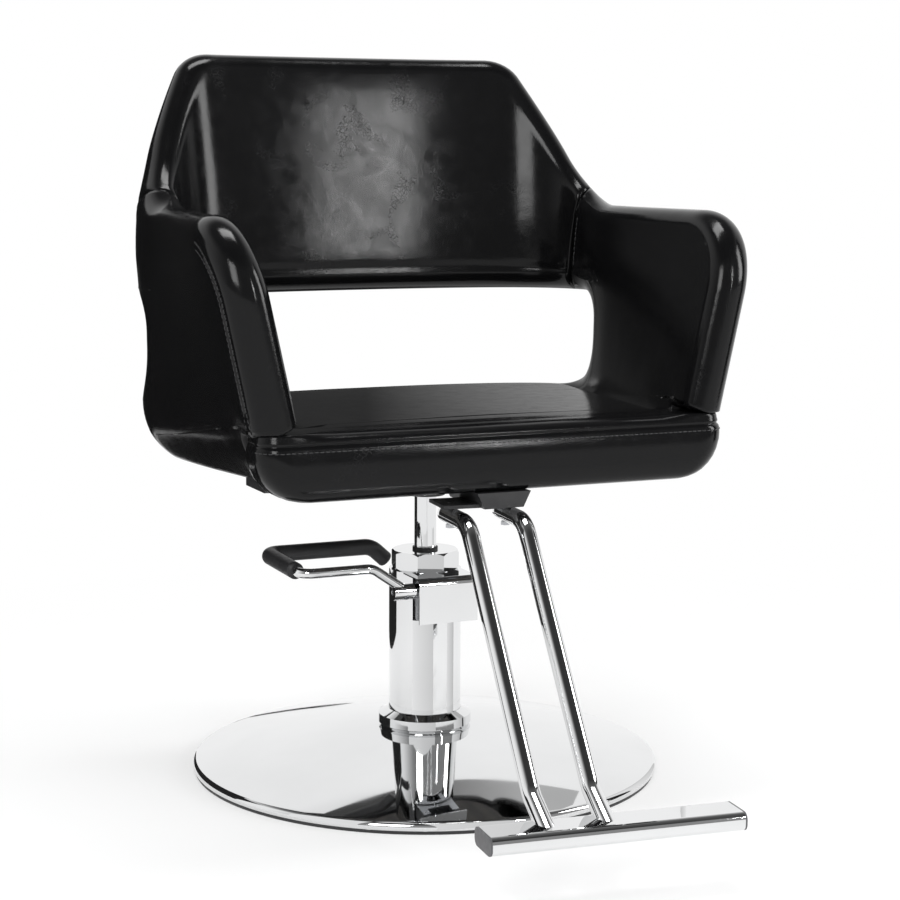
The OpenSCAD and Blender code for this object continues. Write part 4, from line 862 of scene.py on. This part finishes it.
MATERIALS = {
    "chrome": metal_material("chrome_plate", (0.81, 0.815, 0.82), 0.025, 0.06, 16.0),
    "steel": metal_material("zinc_steel", (0.5, 0.51, 0.53), 0.22, 0.4, 60.0, 1.0, 0.05),
    "dark_steel": matte_material("black_powder_coat", (0.02, 0.02, 0.021), 0.42, 700.0, 0.2),
    "leather": leather_material(),
    "rubber": matte_material("moulded_rubber", (0.016, 0.016, 0.017), 0.5, 500.0, 0.12),
    "cap_plastic": matte_material("cap_plastic", (0.07, 0.07, 0.074), 0.45, 600.0, 0.1),
    "plywood": plywood_material(),
}
thread = matte_material("bonded_thread", (0.02, 0.02, 0.021), 0.5, 900.0, 0.3)
for subpart in frame["record"]["subparts"]:
    data = frame["nodes"][subpart["node"]].data
    data.materials.clear()
    data.materials.append(MATERIALS[subpart["material_slot"]])


def place(piece, body, slot, *nodes, material=None):
    piece.data.materials.append(material or MATERIALS[slot])
    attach(piece, body)
    if nodes:
        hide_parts(*nodes)


place(arm_cover_left, "seat", "leather", "arm_left")
place(arm_cover_right, "seat", "leather", "arm_right")
place(back_cover, "seat", "leather", "backrest")
place(seat_cover, "seat", "leather", "seat_cushion")
for row in stitch_rows:
    place(row, "seat", "leather", material=thread)
place(rod, "pedal", "chrome", "pedal_rod")
place(grip, "pedal", "rubber", "pedal_sleeve")
for piece, node in zip(foot_tubes, ("footrest_tube_left", "footrest_tube_right")):
    place(piece, "seat", "chrome", node)
place(dome, "base", "chrome", "base_plate")

# Floor, light and camera
scene = bpy.context.scene
scene.view_settings.view_transform = "Standard"
FLOOR_HALF, GLOW_NEAR, GLOW_FAR, NEAR_REACH, FAR_REACH = 30.0, 0.5, 1.0, 0.35, 1.3
floor_mesh = bpy.data.meshes.new("studio_floor")
floor_corners = [(x * FLOOR_HALF, y * FLOOR_HALF, 0) for x, y in ((-1, -1), (1, -1), (1, 1), (-1, 1))]
floor_mesh.from_pydata(floor_corners, [], [(0, 1, 2, 3)])
floor = bpy.data.objects.new("studio_floor", floor_mesh)
scene.collection.objects.link(floor)
floor_material, nodes, links, shader = new_material("pale_floor")
shader.inputs["Base Color"].default_value = (0.9, 0.9, 0.9, 1)
shader.inputs["Roughness"].default_value = 0.9
shader.inputs["Specular IOR Level"].default_value = 0.0
glow = add(nodes, "ShaderNodeEmission", Strength=1.0)
light_path = nodes.new("ShaderNodeLightPath")


def seen_share(nodes, links, path):
    """One for rays that show the background, and nothing for rays that only carry light."""
    seen = math_node(nodes, "ADD")
    links.new(path.outputs["Is Camera Ray"], seen.inputs[0])
    links.new(path.outputs["Is Glossy Ray"], seen.inputs[1])
    all_seen = math_node(nodes, "ADD")
    all_seen.use_clamp = True
    links.new(seen.outputs[0], all_seen.inputs[0])
    links.new(path.outputs["Is Transmission Ray"], all_seen.inputs[1])
    return all_seen.outputs[0]


# The floor turns to plain white away from the chair, and keeps the shadow near it
reach = nodes.new("ShaderNodeVectorMath")
reach.operation = "LENGTH"
links.new(coords(nodes), reach.inputs[0])
fade = add(nodes, "ShaderNodeMapRange", From_Min=NEAR_REACH, From_Max=FAR_REACH,
           To_Min=GLOW_NEAR, To_Max=GLOW_FAR)
links.new(reach.outputs["Value"], fade.inputs["Value"])
floor_share = math_node(nodes, "MULTIPLY")
links.new(seen_share(nodes, links, light_path), floor_share.inputs[0])
links.new(fade.outputs["Result"], floor_share.inputs[1])
blend_floor = nodes.new("ShaderNodeMixShader")
links.new(floor_share.outputs[0], blend_floor.inputs["Fac"])
links.new(shader.outputs["BSDF"], blend_floor.inputs[1])
links.new(glow.outputs["Emission"], blend_floor.inputs[2])
links.new(blend_floor.outputs["Shader"], nodes["Material Output"].inputs["Surface"])
floor_mesh.materials.append(floor_material)

# World: an even fill for light, and white to the camera
# Reflections show a white wall behind the chair, a dim front and a dark ceiling
WORLD_FILL = 0.55
WALL_STOPS = [(0.0, 0.28), (0.3, 0.28), (0.5, 0.75), (0.62, 1.0)]
CEILING_STOPS = [(0.8, 1.0), (0.9, 0.15)]
world = bpy.data.worlds.new("studio")
scene.world = world
world.use_nodes = True
nodes, links = world.node_tree.nodes, world.node_tree.links
fill = nodes["Background"]
fill.inputs["Strength"].default_value = WORLD_FILL
fill.inputs["Color"].default_value = (1, 1, 1, 1)
heading = nodes.new("ShaderNodeSeparateXYZ")
links.new(nodes.new("ShaderNodeTexCoord").outputs["Generated"], heading.inputs["Vector"])
depth_share = add(nodes, "ShaderNodeMapRange", From_Min=-1.0, From_Max=1.0)
links.new(heading.outputs["Y"], depth_share.inputs["Value"])
height_share = add(nodes, "ShaderNodeMapRange", From_Min=-1.0, From_Max=1.0)
links.new(heading.outputs["Z"], height_share.inputs["Value"])
room = math_node(nodes, "MULTIPLY")
links.new(ramp(nodes, links, depth_share.outputs["Result"], WALL_STOPS), room.inputs[0])
links.new(ramp(nodes, links, height_share.outputs["Result"], CEILING_STOPS), room.inputs[1])
seen_wall = add(nodes, "ShaderNodeBackground", Strength=1.0)
sight = nodes.new("ShaderNodeLightPath")
backdrop = math_node(nodes, "MAXIMUM")
links.new(room.outputs[0], backdrop.inputs[0])
links.new(sight.outputs["Is Camera Ray"], backdrop.inputs[1])
links.new(backdrop.outputs[0], seen_wall.inputs["Color"])
mix = nodes.new("ShaderNodeMixShader")
links.new(seen_share(nodes, links, sight), mix.inputs["Fac"])
links.new(fill.outputs["Background"], mix.inputs[1])
links.new(seen_wall.outputs["Background"], mix.inputs[2])
links.new(mix.outputs["Shader"], nodes["World Output"].inputs["Surface"])


def soft_box(name, at, aim, size, power):
    light = bpy.data.lights.new(name, "AREA")
    light.shape = "RECTANGLE"
    light.size, light.size_y = size
    light.energy = power
    lamp = bpy.data.objects.new(name, light)
    lamp.location = at
    lamp.rotation_euler = (Vector(aim) - Vector(at)).to_track_quat("-Z", "Y").to_euler()
    scene.collection.objects.link(lamp)


soft_box("key", (-2.2, -2.6, 2.2), (0, 0, 0.5), (1.2, 1.8), 60)
soft_box("side", (2.6, -1.2, 1.6), (0, 0, 0.5), (0.8, 1.8), 40)
soft_box("top", (0, 0.3, 3.2), (0, 0, 0.4), (1.6, 0.8), 42)
soft_box("front", (0.89, -2.1, 1.25), (0, 0.15, 0.7), (0.055, 1.0), 9)


# Cards that only reflections see, as the sides of a studio: bearings from +X in degrees, the rest in metres
def card(name, corners, tone, far_tone=None, fade=(0.0, 1.0)):
    """One sheet of a plain tone, or of a tone that turns into another along X."""
    mesh = bpy.data.meshes.new(name)
    mesh.from_pydata(corners, [], [(0, 1, 2, 3)])
    material, nodes, links, _ = new_material(name)
    grey = add(nodes, "ShaderNodeEmission", Strength=1.0)
    across = nodes.new("ShaderNodeSeparateXYZ")
    links.new(coords(nodes), across.inputs["Vector"])
    last_tone = tone if far_tone is None else far_tone
    level = add(nodes, "ShaderNodeMapRange", From_Min=fade[0], From_Max=fade[1],
                To_Min=tone, To_Max=last_tone)
    links.new(across.outputs["X"], level.inputs["Value"])
    links.new(level.outputs["Result"], grey.inputs["Color"])
    links.new(grey.outputs["Emission"], nodes["Material Output"].inputs["Surface"])
    mesh.materials.append(material)
    sheet = bpy.data.objects.new(name, mesh)
    sheet.visible_camera = False
    sheet.visible_diffuse = False
    sheet.visible_shadow = False
    scene.collection.objects.link(sheet)


def around(bearing, distance, height):
    a = math.radians(bearing)
    return distance * math.cos(a), distance * math.sin(a), height


def upright(name, start, end, distance, high, tone, far_tone=None):
    low_start = around(start, distance, 0)
    low_end = around(end, distance, 0)
    corners = [low_start, low_end, around(end, distance, high), around(start, distance, high)]
    card(name, corners, tone, far_tone, (low_start[0], low_end[0]))


DARK = 0.02
LOW_REACH, LOW_HIGH = 0.33, 0.24
upright("card_rear_left", 94, 154, 1.5, 1.15, DARK)
upright("card_right", 342, 358, 2.4, 2.4, DARK)
upright("card_low_front", 209, 272, LOW_REACH, LOW_HIGH, 0.98, 0.74)
upright("card_low_right", 318, 346, LOW_REACH, LOW_HIGH, 0.92, 0.62)
WINDOW_LEFT, WINDOW_RIGHT, WINDOW_CARD_Y, WINDOW_LOW, WINDOW_HIGH = -0.34, 0.5, 0.32, 0.44, 0.6
window_low = [(WINDOW_LEFT, WINDOW_CARD_Y, WINDOW_LOW), (WINDOW_RIGHT, WINDOW_CARD_Y, WINDOW_LOW)]
window_high = [(WINDOW_RIGHT, WINDOW_CARD_Y, WINDOW_HIGH), (WINDOW_LEFT, WINDOW_CARD_Y, WINDOW_HIGH)]
card("card_window", window_low + window_high, 0.06, 0.5, (0.05, 0.4))
FLOOR_START, FLOOR_END, FLOOR_NEAR, FLOOR_FAR, CARD_LIFT = 76, 145, 0.75, 1.45, 0.004
floor_start = [around(FLOOR_START, FLOOR_NEAR, CARD_LIFT), around(FLOOR_START, FLOOR_FAR, CARD_LIFT)]
floor_end = [around(FLOOR_END, FLOOR_FAR, CARD_LIFT), around(FLOOR_END, FLOOR_NEAR, CARD_LIFT)]
card("card_floor", floor_start + floor_end, DARK)

# Camera, solved from the photograph
CAMERA_AT = (-1.0262, -2.3780, 0.763)
CAMERA_TURN, CAMERA_PITCH, CAMERA_ROLL = 24.0, 8.17, 0.3
CAMERA_LENS, SENSOR_WIDTH = 86.24, 36
camera_data = bpy.data.cameras.new("camera")
camera_data.lens = CAMERA_LENS
camera_data.sensor_width = SENSOR_WIDTH
camera = bpy.data.objects.new("camera", camera_data)
turn, pitch = math.radians(CAMERA_TURN), math.radians(CAMERA_PITCH)
ahead = Vector((math.sin(turn) * math.cos(pitch), math.cos(turn) * math.cos(pitch), -math.sin(pitch)))
right = Vector((math.cos(turn), -math.sin(turn), 0))
above = right.cross(ahead)
facing = Matrix((right, above, -ahead)).transposed().to_4x4()
roll = Matrix.Rotation(math.radians(CAMERA_ROLL), 4, "Z")
camera.matrix_world = Matrix.Translation(CAMERA_AT) @ facing @ roll
scene.collection.objects.link(camera)
scene.camera = camera
